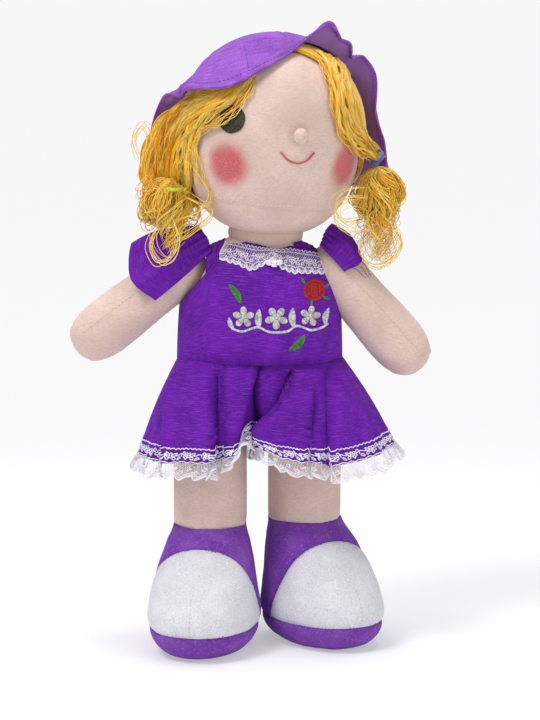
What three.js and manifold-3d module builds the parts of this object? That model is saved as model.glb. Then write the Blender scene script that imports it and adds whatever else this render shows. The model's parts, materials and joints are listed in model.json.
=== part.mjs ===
// A stuffed rag doll in a romper and a soft hat, in millimetres, +Z up, facing -Y.
// It stands on its two soles. Its own right side is at -X and its own left side at +X.

import * as THREE from 'three';
import { mergeVertices } from 'three/addons/utils/BufferGeometryUtils.js';
import Module from 'manifold-3d';

const wasm = await Module();
wasm.setup();

const { degToRad, lerp, clamp, smoothstep } = THREE.MathUtils;
const sides = ['right', 'left'];
const towards = { right: -1, left: 1 };

// Fits and cloth
const seamGap = 0.35;
const clothThickness = 1.2;
const clothGap = 0.6;
const hangGap = 0.9;
const turnGap = 0.7;
const laceThickness = 0.9;
const cutOverrun = 30;

// Legs
const legDiameter = 56;
const legSpacing = 68.6;
const hipHeight = 180;
const ankleHeight = 88;
const hipSeamWidth = 52;
const hipSeamThickness = 6;
const legTaperLength = 50;
const legStrides = { right: -12, left: 12 };

// Feet
const footWidth = 80;
const footLength = 106;
const footReach = 24;
const soleHeight = 19;
const toePanelThickness = 1.5;
const toePanelTopHeight = 76;
const toePanelTopReach = 38;
const toePanelSlope = degToRad(25);
const footTurns = { right: degToRad(-10), left: degToRad(32) };

// Torso, above the hip
const torsoCentre = 2;
const torsoRiseFromHip = 112;
const waistRiseFromHip = 27;
const torsoWidth = 116;
const torsoDepth = 76;
const torsoBottomHeight = hipHeight + hipSeamThickness / 2 + seamGap;
const torsoTopHeight = hipHeight + torsoRiseFromHip;
const waistHeight = hipHeight + waistRiseFromHip;

// Arms
const armDiameter = 43;
const shoulderDrop = 20;
const shoulderSpacing = 111;
const shoulderToHand = 76;
const armAngles = { right: degToRad(52), left: degToRad(-41) };

// Neck and head
const neckCentre = 6;
const neckDiameter = 27;
const neckBallDiameter = 34;
const neckSocketDepth = 11;
const neckRise = 11;
const headWidth = 127;
const headDepth = 112;
const headHeight = 138;
const headRise = 63.5;
const headRoll = degToRad(5);
const headYaw = degToRad(18.5);

// Face
const eyeDiameter = 20;
const eyeThickness = 1.2;
const eyeSpread = degToRad(46);
const eyeRise = degToRad(9.7);
const noseDiameter = 9.5;
const noseHeight = 11.5;
const noseRise = degToRad(4);

// Hat
const hatTilt = degToRad(45);
const hatLift = 6;
const hatThickness = 1.5;
const hatSeamAngle = degToRad(60);
const hatBrimRadius = 80;
const hatBrimHeight = 36;

// Hair
const hairCapThickness = 3.4;
const bunchPower = 2.3;
const ringletCount = 5;
const ringletShare = 0.08;
const ringletTurnShare = 1.6;
const hairlineDepth = 6;
const hairlineSlope = degToRad(18);
const napeDrop = 52;
const lockThickness = 5;
const lockWidth = 30;
const bandTubeDiameter = 2.6;
const bandGap = 1;
const bunchRest = 9;
const bunchSizes = {
  right: { width: 50, depth: 36, height: 43 },
  left: { width: 42, depth: 38, height: 76 },
};

// Romper
const hemDrops = { right: 69, left: 70 };
const hemSideRises = { right: 0, left: 8 };
const hemReaches = { right: 81, left: 94 };
const hemDepth = 94;
const crotchDrop = 14;
const crotchWidth = 14;
const pleatCount = 7;
const pleatDepth = 3.6;
const hemCurlRises = { right: 20, left: 4 };
const hemCurlAngle = degToRad(149);
const hemCurlSpread = degToRad(29);
const hemPower = 3.6;
const hemInnerPower = 4.4;
const romperPuff = 3;
const laceOverlap = 10;
const laceDrop = 11.5;

// Shoulder straps and bow
const strapWidth = 13;
const strapReach = 31;
const bowPlace = 10;
const bowDrop = 11;
const bowLoopLength = 9;
const bowLoopWidth = 6;
const bowKnotDiameter = 4.5;
const bowSweep = degToRad(12);

// Shares of a form's half sizes: along, across, deep, and where needed the shift of its middle
const torsoShares = [
  [0.0, 0.92, 0.02],
  [0.04, 0.96, 0.1],
  [0.09, 0.99, 0.25],
  [0.14, 1.0, 0.43],
  [0.19, 1.0, 0.63],
  [0.25, 1.0, 0.85],
  [0.33, 1.0, 1.0],
  [0.5, 0.985, 1.0],
  [0.65, 0.96, 0.95],
  [0.78, 0.9, 0.86],
  [0.88, 0.8, 0.73],
  [0.95, 0.66, 0.57],
  [1.0, 0.45, 0.4],
];
const armShares = [
  [0.0, 1.0, 1.0],
  [0.2, 0.96, 0.96],
  [0.45, 0.96, 0.94],
  [0.7, 1.02, 0.97],
  [0.95, 1.02, 0.95],
  [1.1, 0.93, 0.87],
  [1.2, 0.75, 0.7],
  [1.26, 0.5, 0.46],
  [1.285, 0.2, 0.18],
];
const footShares = [
  [0.0, 0.58, 0.68, 1.0],
  [0.03, 0.72, 0.81, 1.0],
  [0.09, 0.86, 0.92, 1.0],
  [0.2, 0.97, 0.99, 1.0],
  [0.32, 1.0, 1.0, 1.0],
  [0.45, 0.97, 0.96, 0.93],
  [0.59, 0.91, 0.87, 0.78],
  [0.73, 0.84, 0.75, 0.52],
  [0.84, 0.775, 0.64, 0.3],
  [0.93, 0.715, 0.56, 0.11],
  [1.0, 0.691, 0.528, 0.0],
];

// Shares for outlines: of the torso's half width, and of the height from the waist to its top
const bodiceFrontShares = [
  [-1.4, 0.0],
  [-1.4, 0.42],
  [-1.0, 0.44],
  [-0.9, 0.55],
  [-0.68, 0.73],
  [-0.5, 0.88],
  [-0.42, 1.05],
  [-0.3, 1.04],
  [-0.04, 0.985],
  [0.2, 0.94],
  [0.36, 0.965],
  [0.62, 0.93],
  [0.8, 0.9],
  [0.93, 0.66],
  [0.99, 0.47],
  [1.04, 0.3],
  [1.4, 0.29],
  [1.4, 0.0],
];
const bodiceBackShares = [
  [-1.4, 0.0],
  [-1.4, 0.42],
  [-1.0, 0.44],
  [-0.9, 0.55],
  [-0.68, 0.73],
  [-0.5, 0.88],
  [-0.42, 1.05],
  [-0.3, 1.0],
  [0.0, 0.9],
  [0.3, 0.88],
  [0.62, 0.93],
  [0.8, 0.9],
  [0.93, 0.66],
  [0.99, 0.47],
  [1.04, 0.3],
  [1.4, 0.29],
  [1.4, 0.0],
];
const necklineLaceShares = [
  [-0.49, 0.875],
  [-0.3, 0.83],
  [-0.09, 0.775],
  [0.06, 0.83],
  [0.17, 0.87],
  [0.26, 0.79],
  [0.4, 0.755],
  [0.6, 0.75],
  [0.8, 0.735],
  [0.93, 0.67],
  [0.98, 0.7],
  [0.84, 0.93],
  [0.62, 0.96],
  [0.36, 0.995],
  [0.2, 0.965],
  [-0.04, 1.01],
  [-0.3, 1.055],
];

// Shares of the brim's radius and height about the hat's axis, by the angle from its front in degrees
const brimShares = [
  [-180, 1.08, 0.6],
  [-150, 1.08, 0.6],
  [-120, 1.1, 0.72],
  [-96, 0.96, 1.03],
  [-75, 0.97, 0.5],
  [-57, 1.0, 0.12],
  [-41, 0.92, -0.1],
  [-21, 0.86, 0.2],
  [0, 0.82, 0.7],
  [19, 0.98, 1.28],
  [45, 0.95, 1.03],
  [60, 1.03, 0.88],
  [75, 0.98, 0.5],
  [92, 1.09, 0.0],
  [102, 1.2, -0.28],
  [120, 1.18, 0.05],
  [150, 1.1, 0.5],
  [180, 1.08, 0.6],
];

// Lock paths as shares of the head's half sizes, with the share of the lock's width at each point
const rightLockShares = [
  [-0.31, -0.74, 0.74, 0.45],
  [-0.54, -0.72, 0.61, 0.8],
  [-0.77, -0.68, 0.45, 1.0],
  [-1.0, -0.4, 0.14, 1.0],
  [-1.1, -0.12, -0.22, 0.8],
  [-1.12, 0.0, -0.48, 0.3],
  [-1.12, 0.02, -0.66, 0.28],
];
const leftLockShares = [
  [0.1, -0.6, 0.88, 0.3],
  [0.42, -0.7, 0.7, 0.5],
  [0.54, -0.8, 0.36, 0.56],
  [0.7, -0.74, 0.06, 0.54],
  [0.92, -0.6, -0.06, 0.42],
  [1.06, -0.52, -0.09, 0.28],
  [1.12, -0.5, -0.11, 0.28],
];
const lockShares = { right: rightLockShares, left: leftLockShares };

// Middle of each bunch from its band, as shares of the bunch's width, depth and height
const rightBunchShares = [0.0, 0.3, -0.16];
const leftBunchShares = [0.1, 0.04, -0.48];
const bunchShares = { right: rightBunchShares, left: leftBunchShares };

// Each tie round the root of its arm: shares of the arm's radius along the arm and out from its
// middle at both ends, by the share of the way from the tie's upper edge to its lower edge
const tieAngles = {
  right: [degToRad(10), degToRad(100)],
  left: [degToRad(10), degToRad(76)],
};
const rightTieShares = [
  [0.0, -1.4, 0.72, 0.75, 1.75],
  [0.3, -1.4, 0.66, 1.3, 1.4],
  [0.6, -1.4, 0.62, 1.42, 1.32],
  [1.0, -1.25, 0.72, 1.2, 1.32],
];
const leftTieShares = [
  [0.0, -1.24, 0.9, -0.45, 1.2],
  [0.4, -1.2, 0.78, 0.3, 1.18],
  [1.0, -0.98, 0.74, 0.2, 1.09],
];
const tieShares = { right: rightTieShares, left: leftTieShares };

// Where the band sits along its lock
const bandShare = 0.93;

// Counts of facets
const torsoSegments = 24;
const seatSegments = 24;
const limbSegments = 18;
const footSegments = 22;
const footSteps = 11;
const legSteps = 8;
const headSegments = 28;
const headSteps = 14;
const hatSegments = 36;
const crownSteps = 5;
const brimSteps = 3;
const lockSegments = 10;
const lockSteps = 10;
const bunchSegments = 20;
const bunchSteps = 8;
const pleatSteps = 5;

// Materials
function cloth(colour, roughness = 0.9) {
  return new THREE.MeshStandardMaterial({ color: colour, roughness, metalness: 0 });
}
const skinCloth = cloth(0xe3cbc0);
const romperCloth = cloth(0x5f1fa0);
const hatCloth = cloth(0x7a3fc0);
const plushCloth = cloth(0x6f3aa8, 0.95);
const panelCloth = cloth(0xe6e6ea);
const laceThread = cloth(0xe9e2f2);
const hairFibre = cloth(0xeda922, 0.45);
const eyeFelt = cloth(0x45413d, 0.6);
const blueElastic = cloth(0x3150b0, 0.6);
const yellowElastic = cloth(0xb8c21c, 0.6);

// Reads a table of rows [place, value, value ...] at a place, with a smooth cubic between rows.
function readShares(rows, place) {
  let row = 0;
  while (row < rows.length - 2 && place > rows[row + 1][0]) {
    row += 1;
  }
  const from = rows[row];
  const to = rows[row + 1];
  const before = rows[Math.max(row - 1, 0)];
  const after = rows[Math.min(row + 2, rows.length - 1)];
  const span = to[0] - from[0];
  const part = clamp((place - from[0]) / span, 0, 1);
  const square = part * part;
  const cube = square * part;
  return from.slice(1).map((value, index) => {
    const key = index + 1;
    const leave = ((to[key] - before[key]) / (to[0] - before[0])) * span;
    const arrive = ((after[key] - value) / (after[0] - from[0])) * span;
    return (
      value * (2 * cube - 3 * square + 1) +
      leave * (cube - 2 * square + part) +
      to[key] * (3 * square - 2 * cube) +
      arrive * (cube - square)
    );
  });
}

// The place that lies a part of the way through the rows of a table.
function placeAt(rows, part) {
  const at = part * (rows.length - 1);
  const row = Math.min(Math.floor(at), rows.length - 2);
  return lerp(rows[row][0], rows[row + 1][0], at - row);
}

// A cosine or sine raised to a superellipse's power, with its sign kept.
function rounded(value, power) {
  return Math.sign(value) * Math.abs(value) ** (2 / power);
}

// One ring of a superellipse in a level plane.
function levelRing(centre, halfWidth, halfDepth, power, count) {
  return Array.from({ length: count }, (_, index) => {
    const angle = (2 * Math.PI * index) / count;
    return new THREE.Vector3(
      centre.x + halfWidth * rounded(Math.cos(angle), power),
      centre.y + halfDepth * rounded(Math.sin(angle), power),
      centre.z,
    );
  });
}

function middleOf(points) {
  const sum = new THREE.Vector3();
  points.forEach((point) => sum.add(point));
  return sum.divideScalar(points.length);
}

// Makes a closed geometry from points and triangles, with its faces pointing out.
function closedGeometry(points, triangles) {
  let volume = 0;
  for (let first = 0; first < triangles.length; first += 3) {
    const [a, b, c] = triangles.slice(first, first + 3).map((index) => points[index]);
    volume += a.dot(new THREE.Vector3().crossVectors(b, c));
  }
  const facing = volume < 0 ? [...triangles].reverse() : triangles;
  const geometry = new THREE.BufferGeometry().setFromPoints(points);
  geometry.setIndex(facing);
  return geometry;
}

// Joins rings of equal count, with a fan over each end.
function loft(rings) {
  const count = rings[0].length;
  const points = rings.flat();
  const firstEnd = points.push(middleOf(rings[0])) - 1;
  const lastEnd = points.push(middleOf(rings.at(-1))) - 1;
  const lastRing = (rings.length - 1) * count;
  const triangles = [];
  for (let index = 0; index < count; index += 1) {
    const next = (index + 1) % count;
    triangles.push(firstEnd, next, index, lastEnd, lastRing + index, lastRing + next);
    for (let ring = 0; ring < rings.length - 1; ring += 1) {
      const low = ring * count;
      const high = low + count;
      triangles.push(low + index, low + next, high + next);
      triangles.push(low + index, high + next, high + index);
    }
  }
  return closedGeometry(points, triangles);
}

// The unit normal of surface(u, v) at a place.
function normalAt(surface, u, v) {
  const step = 0.002;
  const alongU = surface(Math.min(u + step, 1), v).sub(surface(Math.max(u - step, 0), v));
  const alongV = surface(u, v + step).sub(surface(u, v - step));
  return new THREE.Vector3().crossVectors(alongV, alongU).normalize();
}

// A cloth of even thickness over surface(u, v). One that goes around joins v = 1 to v = 0.
// One with a crown closes at u = 1. A reversed one has u and v the other way about.
function sheet(surface, options) {
  const { rows, columns, lift, thickness, around = false, crown = false, reversed = false } = options;
  const facing = reversed ? -1 : 1;
  const perRow = around ? columns : columns + 1;
  const lastRow = crown ? rows - 1 : rows;
  const layers = [lift, lift + thickness].map((height) => {
    const layer = [];
    for (let row = 0; row <= lastRow; row += 1) {
      for (let column = 0; column < perRow; column += 1) {
        const u = row / rows;
        const v = column / columns;
        const normal = normalAt(surface, u, v).multiplyScalar(facing * height);
        layer.push(surface(u, v).add(normal));
      }
    }
    return layer;
  });
  const points = layers.flat();
  const outer = layers[0].length;
  const triangles = [];
  const quad = (a, b, c, d) => triangles.push(a, b, c, a, c, d);
  for (let column = 0; column < columns; column += 1) {
    const next = (column + 1) % perRow;
    for (let row = 0; row < lastRow; row += 1) {
      const low = row * perRow;
      const high = low + perRow;
      quad(low + next, low + column, high + column, high + next);
      quad(outer + low + column, outer + low + next, outer + high + next, outer + high + column);
    }
    quad(column, next, outer + next, outer + column);
    const top = lastRow * perRow;
    if (!crown) {
      quad(top + next, top + column, outer + top + column, outer + top + next);
    }
  }
  if (crown) {
    const top = lastRow * perRow;
    const inside = layers.map((layer) => middleOf(layer.slice(top)));
    const pole = surface(1, 0);
    const up = pole.clone().sub(inside[0]).normalize();
    const poles = [lift, lift + thickness].map((height) => {
      return points.push(pole.clone().addScaledVector(up, facing * height)) - 1;
    });
    for (let column = 0; column < columns; column += 1) {
      const next = (column + 1) % perRow;
      triangles.push(poles[0], top + next, top + column);
      triangles.push(poles[1], outer + top + column, outer + top + next);
    }
  }
  if (!around) {
    for (let row = 0; row < lastRow; row += 1) {
      const low = row * perRow;
      const high = low + perRow;
      quad(low, outer + low, outer + high, high);
      quad(low + columns, high + columns, outer + high + columns, outer + low + columns);
    }
  }
  return closedGeometry(points, triangles);
}

// Booleans
function toSolid(geometry) {
  const bare = geometry.clone();
  bare.deleteAttribute('normal');
  bare.deleteAttribute('uv');
  const merged = mergeVertices(bare);
  const mesh = new wasm.Mesh({
    numProp: 3,
    vertProperties: new Float32Array(merged.attributes.position.array),
    triVerts: new Uint32Array(merged.index.array),
  });
  return new wasm.Manifold(mesh);
}

function toGeometry(solid) {
  const mesh = solid.getMesh();
  const geometry = new THREE.BufferGeometry();
  geometry.setAttribute('position', new THREE.BufferAttribute(mesh.vertProperties, 3));
  geometry.setIndex(new THREE.BufferAttribute(mesh.triVerts, 1));
  geometry.computeVertexNormals();
  return geometry;
}

function addPiece(parent, name, solid, material) {
  const mesh = new THREE.Mesh(toGeometry(solid), material);
  mesh.name = name;
  parent.add(mesh);
}

// A box between two corners, as a solid.
function boxBetween(low, high) {
  const size = new THREE.Vector3().subVectors(high, low);
  const middle = new THREE.Vector3().addVectors(low, high).multiplyScalar(0.5);
  const geometry = new THREE.BoxGeometry(size.x, size.y, size.z);
  geometry.translate(middle.x, middle.y, middle.z);
  return toSolid(geometry);
}

// An outline in the XZ plane run along Y from one depth to another.
function prismAlongY(outline, fromY, toY) {
  const shape = new THREE.Shape(outline.map(([x, z]) => new THREE.Vector2(x, z)));
  const geometry = new THREE.ExtrudeGeometry(shape, { depth: toY - fromY, bevelEnabled: false });
  geometry.rotateX(Math.PI / 2);
  geometry.translate(0, toY, 0);
  return toSolid(geometry);
}

// Heights worked out from the hip's and the torso's
const shoulderHeight = torsoTopHeight - shoulderDrop;
const neckBottomHeight = torsoTopHeight - neckSocketDepth;
const neckPivotHeight = torsoTopHeight + neckRise;
const bowHeight = torsoTopHeight - bowDrop;
const crotchHeight = hipHeight - crotchDrop;

// Torso
const torsoHeight = torsoTopHeight - torsoBottomHeight;
const torsoRise = torsoTopHeight - waistHeight;
const waistShare = (waistHeight - torsoBottomHeight) / torsoHeight;
const torsoPower = 2.2;

function torsoPoint(share, turn) {
  const [across, deep] = readShares(torsoShares, share);
  const angle = 2 * Math.PI * turn;
  return new THREE.Vector3(
    torsoCentre + (torsoWidth / 2) * across * rounded(Math.cos(angle), torsoPower),
    (torsoDepth / 2) * deep * rounded(Math.sin(angle), torsoPower),
    torsoBottomHeight + torsoHeight * share,
  );
}

function torsoSolid() {
  const rings = torsoShares.map(([share]) =>
    Array.from({ length: torsoSegments }, (_, index) => torsoPoint(share, index / torsoSegments)),
  );
  return toSolid(loft(rings));
}

// A cloth over the torso, from the last row below the waist to its top, on the torso's own rows.
function torsoCover(lift, thickness) {
  const first = torsoShares.findLastIndex(([share]) => share < waistShare);
  const covered = torsoShares.slice(first);
  const surface = (u, v) => torsoPoint(placeAt(covered, u), v);
  return toSolid(
    sheet(surface, { rows: covered.length - 1, columns: torsoSegments, lift, thickness, around: true }),
  );
}

function torsoOutline(shares, raise = 0) {
  return shares.map(([x, z]) => [
    torsoCentre + (x * torsoWidth) / 2,
    waistHeight + z * torsoRise + (z > 0 ? raise : 0),
  ]);
}

// Shoulders: each arm ends in a ball that turns in a round seat about the line through both
const shoulderPlaces = {
  right: new THREE.Vector3(-shoulderSpacing / 2, 0, shoulderHeight),
  left: new THREE.Vector3(shoulderSpacing / 2, 0, shoulderHeight),
};

function shoulderSeat(side, clearance) {
  const radius = armDiameter / 2 + clearance;
  const lean = Math.abs(armAngles[side]);
  const profile = [new THREE.Vector2(0, -radius)];
  const arcSteps = 8;
  for (let step = 1; step <= arcSteps; step += 1) {
    const angle = (step / arcSteps) * lean;
    profile.push(new THREE.Vector2(radius * Math.sin(angle), -radius * Math.cos(angle)));
  }
  const reach = shoulderToHand * 2;
  const last = profile.at(-1);
  profile.push(new THREE.Vector2(last.x + reach * Math.cos(lean), last.y + reach * Math.sin(lean)));
  profile.push(new THREE.Vector2(0, last.y + reach * Math.sin(lean)));
  const geometry = new THREE.LatheGeometry(profile, seatSegments);
  geometry.rotateZ((-towards[side] * Math.PI) / 2);
  geometry.translate(...shoulderPlaces[side].toArray());
  return toSolid(geometry);
}

// Arm along -Z from its shoulder
function armSolid(clearance = 0) {
  const radius = armDiameter / 2 + clearance;
  const ballSteps = 5;
  const rings = [];
  for (let step = 1; step < ballSteps; step += 1) {
    const angle = (step / ballSteps) * (Math.PI / 2);
    const centre = new THREE.Vector3(0, 0, radius * Math.cos(angle));
    rings.push(levelRing(centre, radius * Math.sin(angle), radius * Math.sin(angle), 2, limbSegments));
  }
  armShares.forEach(([along, across, deep]) => {
    const centre = new THREE.Vector3(0, 0, -shoulderToHand * along);
    rings.push(levelRing(centre, radius * across, radius * deep, 2, limbSegments));
  });
  return toSolid(loft(rings));
}

// Leg from its flat seam at the hip down to the ankle
function legSolid(side) {
  const radius = legDiameter / 2;
  const length = hipHeight - ankleHeight - seamGap;
  const edge = hipSeamThickness / 2;
  const rings = [];
  const edgeSteps = 3;
  const hipRingPower = 1.4;
  for (let step = 1; step < edgeSteps; step += 1) {
    const angle = (step / edgeSteps) * (Math.PI / 2);
    const centre = new THREE.Vector3(0, 0, edge * Math.cos(angle));
    rings.push(levelRing(centre, hipSeamWidth / 2, edge * Math.sin(angle), 2.4, limbSegments));
  }
  for (let step = 0; step <= legSteps; step += 1) {
    const down = length * (step / legSteps) ** hipRingPower;
    const taper = Math.sin((Math.min(down / legTaperLength, 1) * Math.PI) / 2);
    const centre = new THREE.Vector3(0, legStrides[side] * (down / length), -down);
    const across = lerp(hipSeamWidth / 2, radius, taper);
    rings.push(levelRing(centre, across, lerp(edge, radius, taper), lerp(2.4, 2, taper), limbSegments));
  }
  return toSolid(loft(rings));
}

// Foot below the ankle, its middle ahead of the leg's
function footForm(inset) {
  const rings = Array.from({ length: footSteps }, (_, step) => {
    const share = placeAt(footShares, step / (footSteps - 1));
    const [across, along, ahead] = readShares(footShares, share);
    const centre = new THREE.Vector3(0, -footReach * ahead, ankleHeight * share);
    const halfWidth = (footWidth / 2) * across - inset;
    const halfLength = (footLength / 2) * along - inset;
    return levelRing(centre, halfWidth, halfLength, 2.15, footSegments);
  });
  return toSolid(loft(rings));
}

// The space in front of the toe panel's slanted edge and above the sole
function toePanelSpace(margin) {
  const reach = footLength;
  const geometry = new THREE.BoxGeometry(reach * 2, reach * 2, reach * 4);
  geometry.translate(0, -reach + margin, 0);
  geometry.rotateX(toePanelSlope);
  geometry.translate(0, -toePanelTopReach, toePanelTopHeight);
  const low = new THREE.Vector3(-reach, -reach * 2, soleHeight + seamGap - margin);
  const high = new THREE.Vector3(reach, reach, toePanelTopHeight + margin);
  return toSolid(geometry).intersect(boxBetween(low, high));
}

function addFoot(parent, side) {
  const foot = footForm(0);
  const reach = footLength;
  const above = (height) =>
    boxBetween(
      new THREE.Vector3(-reach, -reach * 2, height),
      new THREE.Vector3(reach, reach, ankleHeight + cutOverrun),
    );
  const sole = foot.subtract(above(soleHeight));
  const recess = toePanelSpace(seamGap).subtract(footForm(toePanelThickness + seamGap));
  const upper = foot.intersect(above(soleHeight + seamGap)).subtract(recess);
  const panel = foot.intersect(toePanelSpace(0)).subtract(footForm(toePanelThickness));
  addPiece(parent, `shoe_sole_${side}`, sole, plushCloth);
  addPiece(parent, `shoe_upper_${side}`, upper, plushCloth);
  addPiece(parent, `toe_panel_${side}`, panel, panelCloth);
}

// Neck: a pinched column whose ball carries the head
function neckSolid() {
  const column = neckDiameter / 2;
  const ball = neckBallDiameter / 2;
  const bottom = neckBottomHeight - neckPivotHeight;
  const pinch = Math.acos(column / ball);
  const profile = [new THREE.Vector2(0, bottom), new THREE.Vector2(column, bottom)];
  const steps = 8;
  for (let step = 0; step < steps; step += 1) {
    const angle = lerp(-pinch, Math.PI / 2, step / steps);
    profile.push(new THREE.Vector2(ball * Math.cos(angle), ball * Math.sin(angle)));
  }
  profile.push(new THREE.Vector2(0, ball));
  return toSolid(new THREE.LatheGeometry(profile, limbSegments).rotateX(Math.PI / 2));
}

function neckSocket() {
  const radius = neckDiameter / 2 + seamGap;
  const bottom = neckBottomHeight - seamGap;
  const height = torsoTopHeight - bottom + cutOverrun;
  const geometry = new THREE.CylinderGeometry(radius, radius, height, limbSegments);
  geometry.rotateX(Math.PI / 2);
  geometry.translate(neckCentre, 0, bottom + height / 2);
  return toSolid(geometry);
}

// Head: a rounded form, squarer below than above, about its own middle
const headHalf = new THREE.Vector3(headWidth / 2, headDepth / 2, headHeight / 2);
const crownPower = 2.06;
const chinPower = 2.45;

function headPower(polar) {
  return lerp(crownPower, chinPower, smoothstep(polar, 0, Math.PI));
}

function headPoint(polar, azimuth, lift = 0) {
  const power = headPower(polar);
  const out = rounded(Math.sin(polar), power);
  return new THREE.Vector3(
    (headHalf.x + lift) * out * Math.sin(azimuth),
    -(headHalf.y + lift) * out * Math.cos(azimuth),
    (headHalf.z + lift) * rounded(Math.cos(polar), power),
  );
}

function headForm(lift) {
  const rings = [];
  for (let step = 1; step < headSteps; step += 1) {
    const polar = Math.PI * (1 - step / headSteps);
    rings.push(
      Array.from({ length: headSegments }, (_, index) =>
        headPoint(polar, (2 * Math.PI * index) / headSegments, lift),
      ),
    );
  }
  return toSolid(loft(rings));
}

// A round solid across the head's surface at a place on the face
function facePlug(azimuth, rise, radius, depth) {
  const geometry = new THREE.CylinderGeometry(radius, radius, depth, limbSegments);
  const surface = headPoint(Math.PI / 2 - rise, azimuth);
  geometry.rotateX(-rise);
  geometry.rotateZ(azimuth);
  geometry.translate(...surface.toArray());
  return toSolid(geometry);
}

function noseSolid() {
  const geometry = new THREE.SphereGeometry(noseDiameter / 2, 12, 8);
  geometry.rotateX(Math.PI / 2);
  geometry.scale(1, 1, noseHeight / noseDiameter);
  const surface = headPoint(Math.PI / 2 - noseRise, 0);
  geometry.translate(surface.x, surface.y - noseDiameter / 4, surface.z);
  return toSolid(geometry).subtract(headForm(seamGap));
}

// Hat: a crown of one dome and a wide soft brim, pushed back on the head
const hatAxis = new THREE.Vector3(0, Math.sin(hatTilt), Math.cos(hatTilt));
const hatFront = new THREE.Vector3(0, -Math.cos(hatTilt), Math.sin(hatTilt));
const hatSide = new THREE.Vector3(1, 0, 0);

function hatDirection(polar, turn) {
  const angle = 2 * Math.PI * turn;
  return hatAxis
    .clone()
    .multiplyScalar(Math.cos(polar))
    .addScaledVector(hatFront, Math.sin(polar) * Math.cos(angle))
    .addScaledVector(hatSide, Math.sin(polar) * Math.sin(angle));
}

// The crown follows the head's own form, further out
function crownPoint(polar, turn) {
  const direction = hatDirection(polar, turn);
  const level = Math.hypot(direction.x / (headHalf.x + hatLift), direction.y / (headHalf.y + hatLift));
  const upright = direction.z / (headHalf.z + hatLift);
  const power = headPower(Math.atan2(level, upright));
  return direction.divideScalar((level ** power + Math.abs(upright) ** power) ** (1 / power));
}

function brimEdge(turn) {
  const degrees = turn * 360;
  const [radius, height] = readShares(brimShares, degrees > 180 ? degrees - 360 : degrees);
  const out = hatDirection(Math.PI / 2, turn).multiplyScalar(radius * hatBrimRadius);
  return out.addScaledVector(hatAxis, height * hatBrimHeight);
}

function brimPoint(u, v) {
  const turn = v - Math.floor(v);
  const seam = crownPoint(hatSeamAngle, turn).addScaledVector(hatAxis, -seamGap);
  return seam.lerp(brimEdge(turn), u);
}

function brimSolid(margin) {
  const overrun = margin / (hatBrimRadius - headHalf.x);
  const surface = (u, v) => brimPoint(lerp(-overrun, 1 + overrun, u), v);
  return toSolid(
    sheet(surface, {
      rows: brimSteps,
      columns: hatSegments,
      lift: -margin,
      thickness: hatThickness + margin * 2,
      around: true,
      reversed: true,
    }),
  );
}

// Hair
function hairCapSolid(margin = 0) {
  const shell = headForm(seamGap + hairCapThickness + margin).subtract(headForm(seamGap));
  const reach = headHeight;
  const behind = new THREE.BoxGeometry(reach * 2, reach * 2, reach * 2);
  behind.translate(0, reach - margin, 0);
  behind.rotateX(hairlineSlope);
  behind.translate(0, -hairlineDepth, 0);
  const low = new THREE.Vector3(-reach, -reach, -napeDrop - margin);
  const high = new THREE.Vector3(reach, reach, reach);
  return shell.intersect(toSolid(behind)).intersect(boxBetween(low, high));
}

function lockPath(side) {
  const points = lockShares[side].map(([x, y, z]) => new THREE.Vector3(x, y, z).multiply(headHalf));
  return new THREE.CatmullRomCurve3(points);
}

function lockSolid(side, margin = 0) {
  const path = lockPath(side);
  const widths = lockShares[side].map((row, index, rows) => [index / (rows.length - 1), row[3]]);
  const rings = Array.from({ length: lockSteps + 1 }, (_, step) => {
    const along = step / lockSteps;
    const centre = path.getPoint(along);
    const tangent = path.getTangent(along);
    const normal = centre.clone().divide(headHalf).divide(headHalf);
    const across = new THREE.Vector3().crossVectors(tangent, normal).normalize();
    const out = new THREE.Vector3().crossVectors(across, tangent);
    const [width] = readShares(widths, along);
    return Array.from({ length: lockSegments }, (_, index) => {
      const angle = (2 * Math.PI * index) / lockSegments;
      return centre
        .clone()
        .addScaledVector(across, ((lockWidth * width) / 2 + margin) * Math.cos(angle))
        .addScaledVector(out, (lockThickness / 2 + margin) * Math.sin(angle));
    });
  });
  return toSolid(loft(rings));
}

function bandRadius(side) {
  const [, , , endShare] = lockShares[side].at(-1);
  return (lockWidth * endShare + bandTubeDiameter) / 2 + seamGap;
}

function bandPlace(side) {
  return lockPath(side).getPoint(bandShare);
}

function bandSolid(side) {
  const tangent = lockPath(side).getTangent(bandShare);
  const ring = new THREE.TorusGeometry(bandRadius(side), bandTubeDiameter / 2, 6, 14);
  ring.applyQuaternion(new THREE.Quaternion().setFromUnitVectors(new THREE.Vector3(0, 0, 1), tangent));
  ring.translate(...bandPlace(side).toArray());
  return toSolid(ring);
}

// A bunch of ringlets below its band, twisted along its length and dented where the band sits
function bunchSolid(side) {
  const { width, depth, height } = bunchSizes[side];
  const [across, behind, above] = bunchShares[side];
  const top = bandPlace(side);
  const middle = top.clone().add(new THREE.Vector3(across * width, behind * depth, above * height));
  const rings = [];
  for (let step = 1; step < bunchSteps; step += 1) {
    const polar = Math.PI * (1 - step / bunchSteps);
    const out = rounded(Math.sin(polar), bunchPower);
    rings.push(
      Array.from({ length: bunchSegments }, (_, index) => {
        const angle = (2 * Math.PI * index) / bunchSegments;
        const wave = 1 + ringletShare * Math.cos(ringletCount * angle + ringletTurnShare * polar);
        return new THREE.Vector3(
          middle.x + (width / 2) * out * wave * Math.cos(angle),
          middle.y + (depth / 2) * out * wave * Math.sin(angle),
          middle.z + (height / 2) * Math.cos(polar),
        );
      }),
    );
  }
  const dent = new THREE.SphereGeometry(bandRadius(side) + bandTubeDiameter / 2 + bandGap, 12, 8);
  dent.translate(...top.toArray());
  return toSolid(loft(rings)).subtract(toSolid(dent));
}

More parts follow.
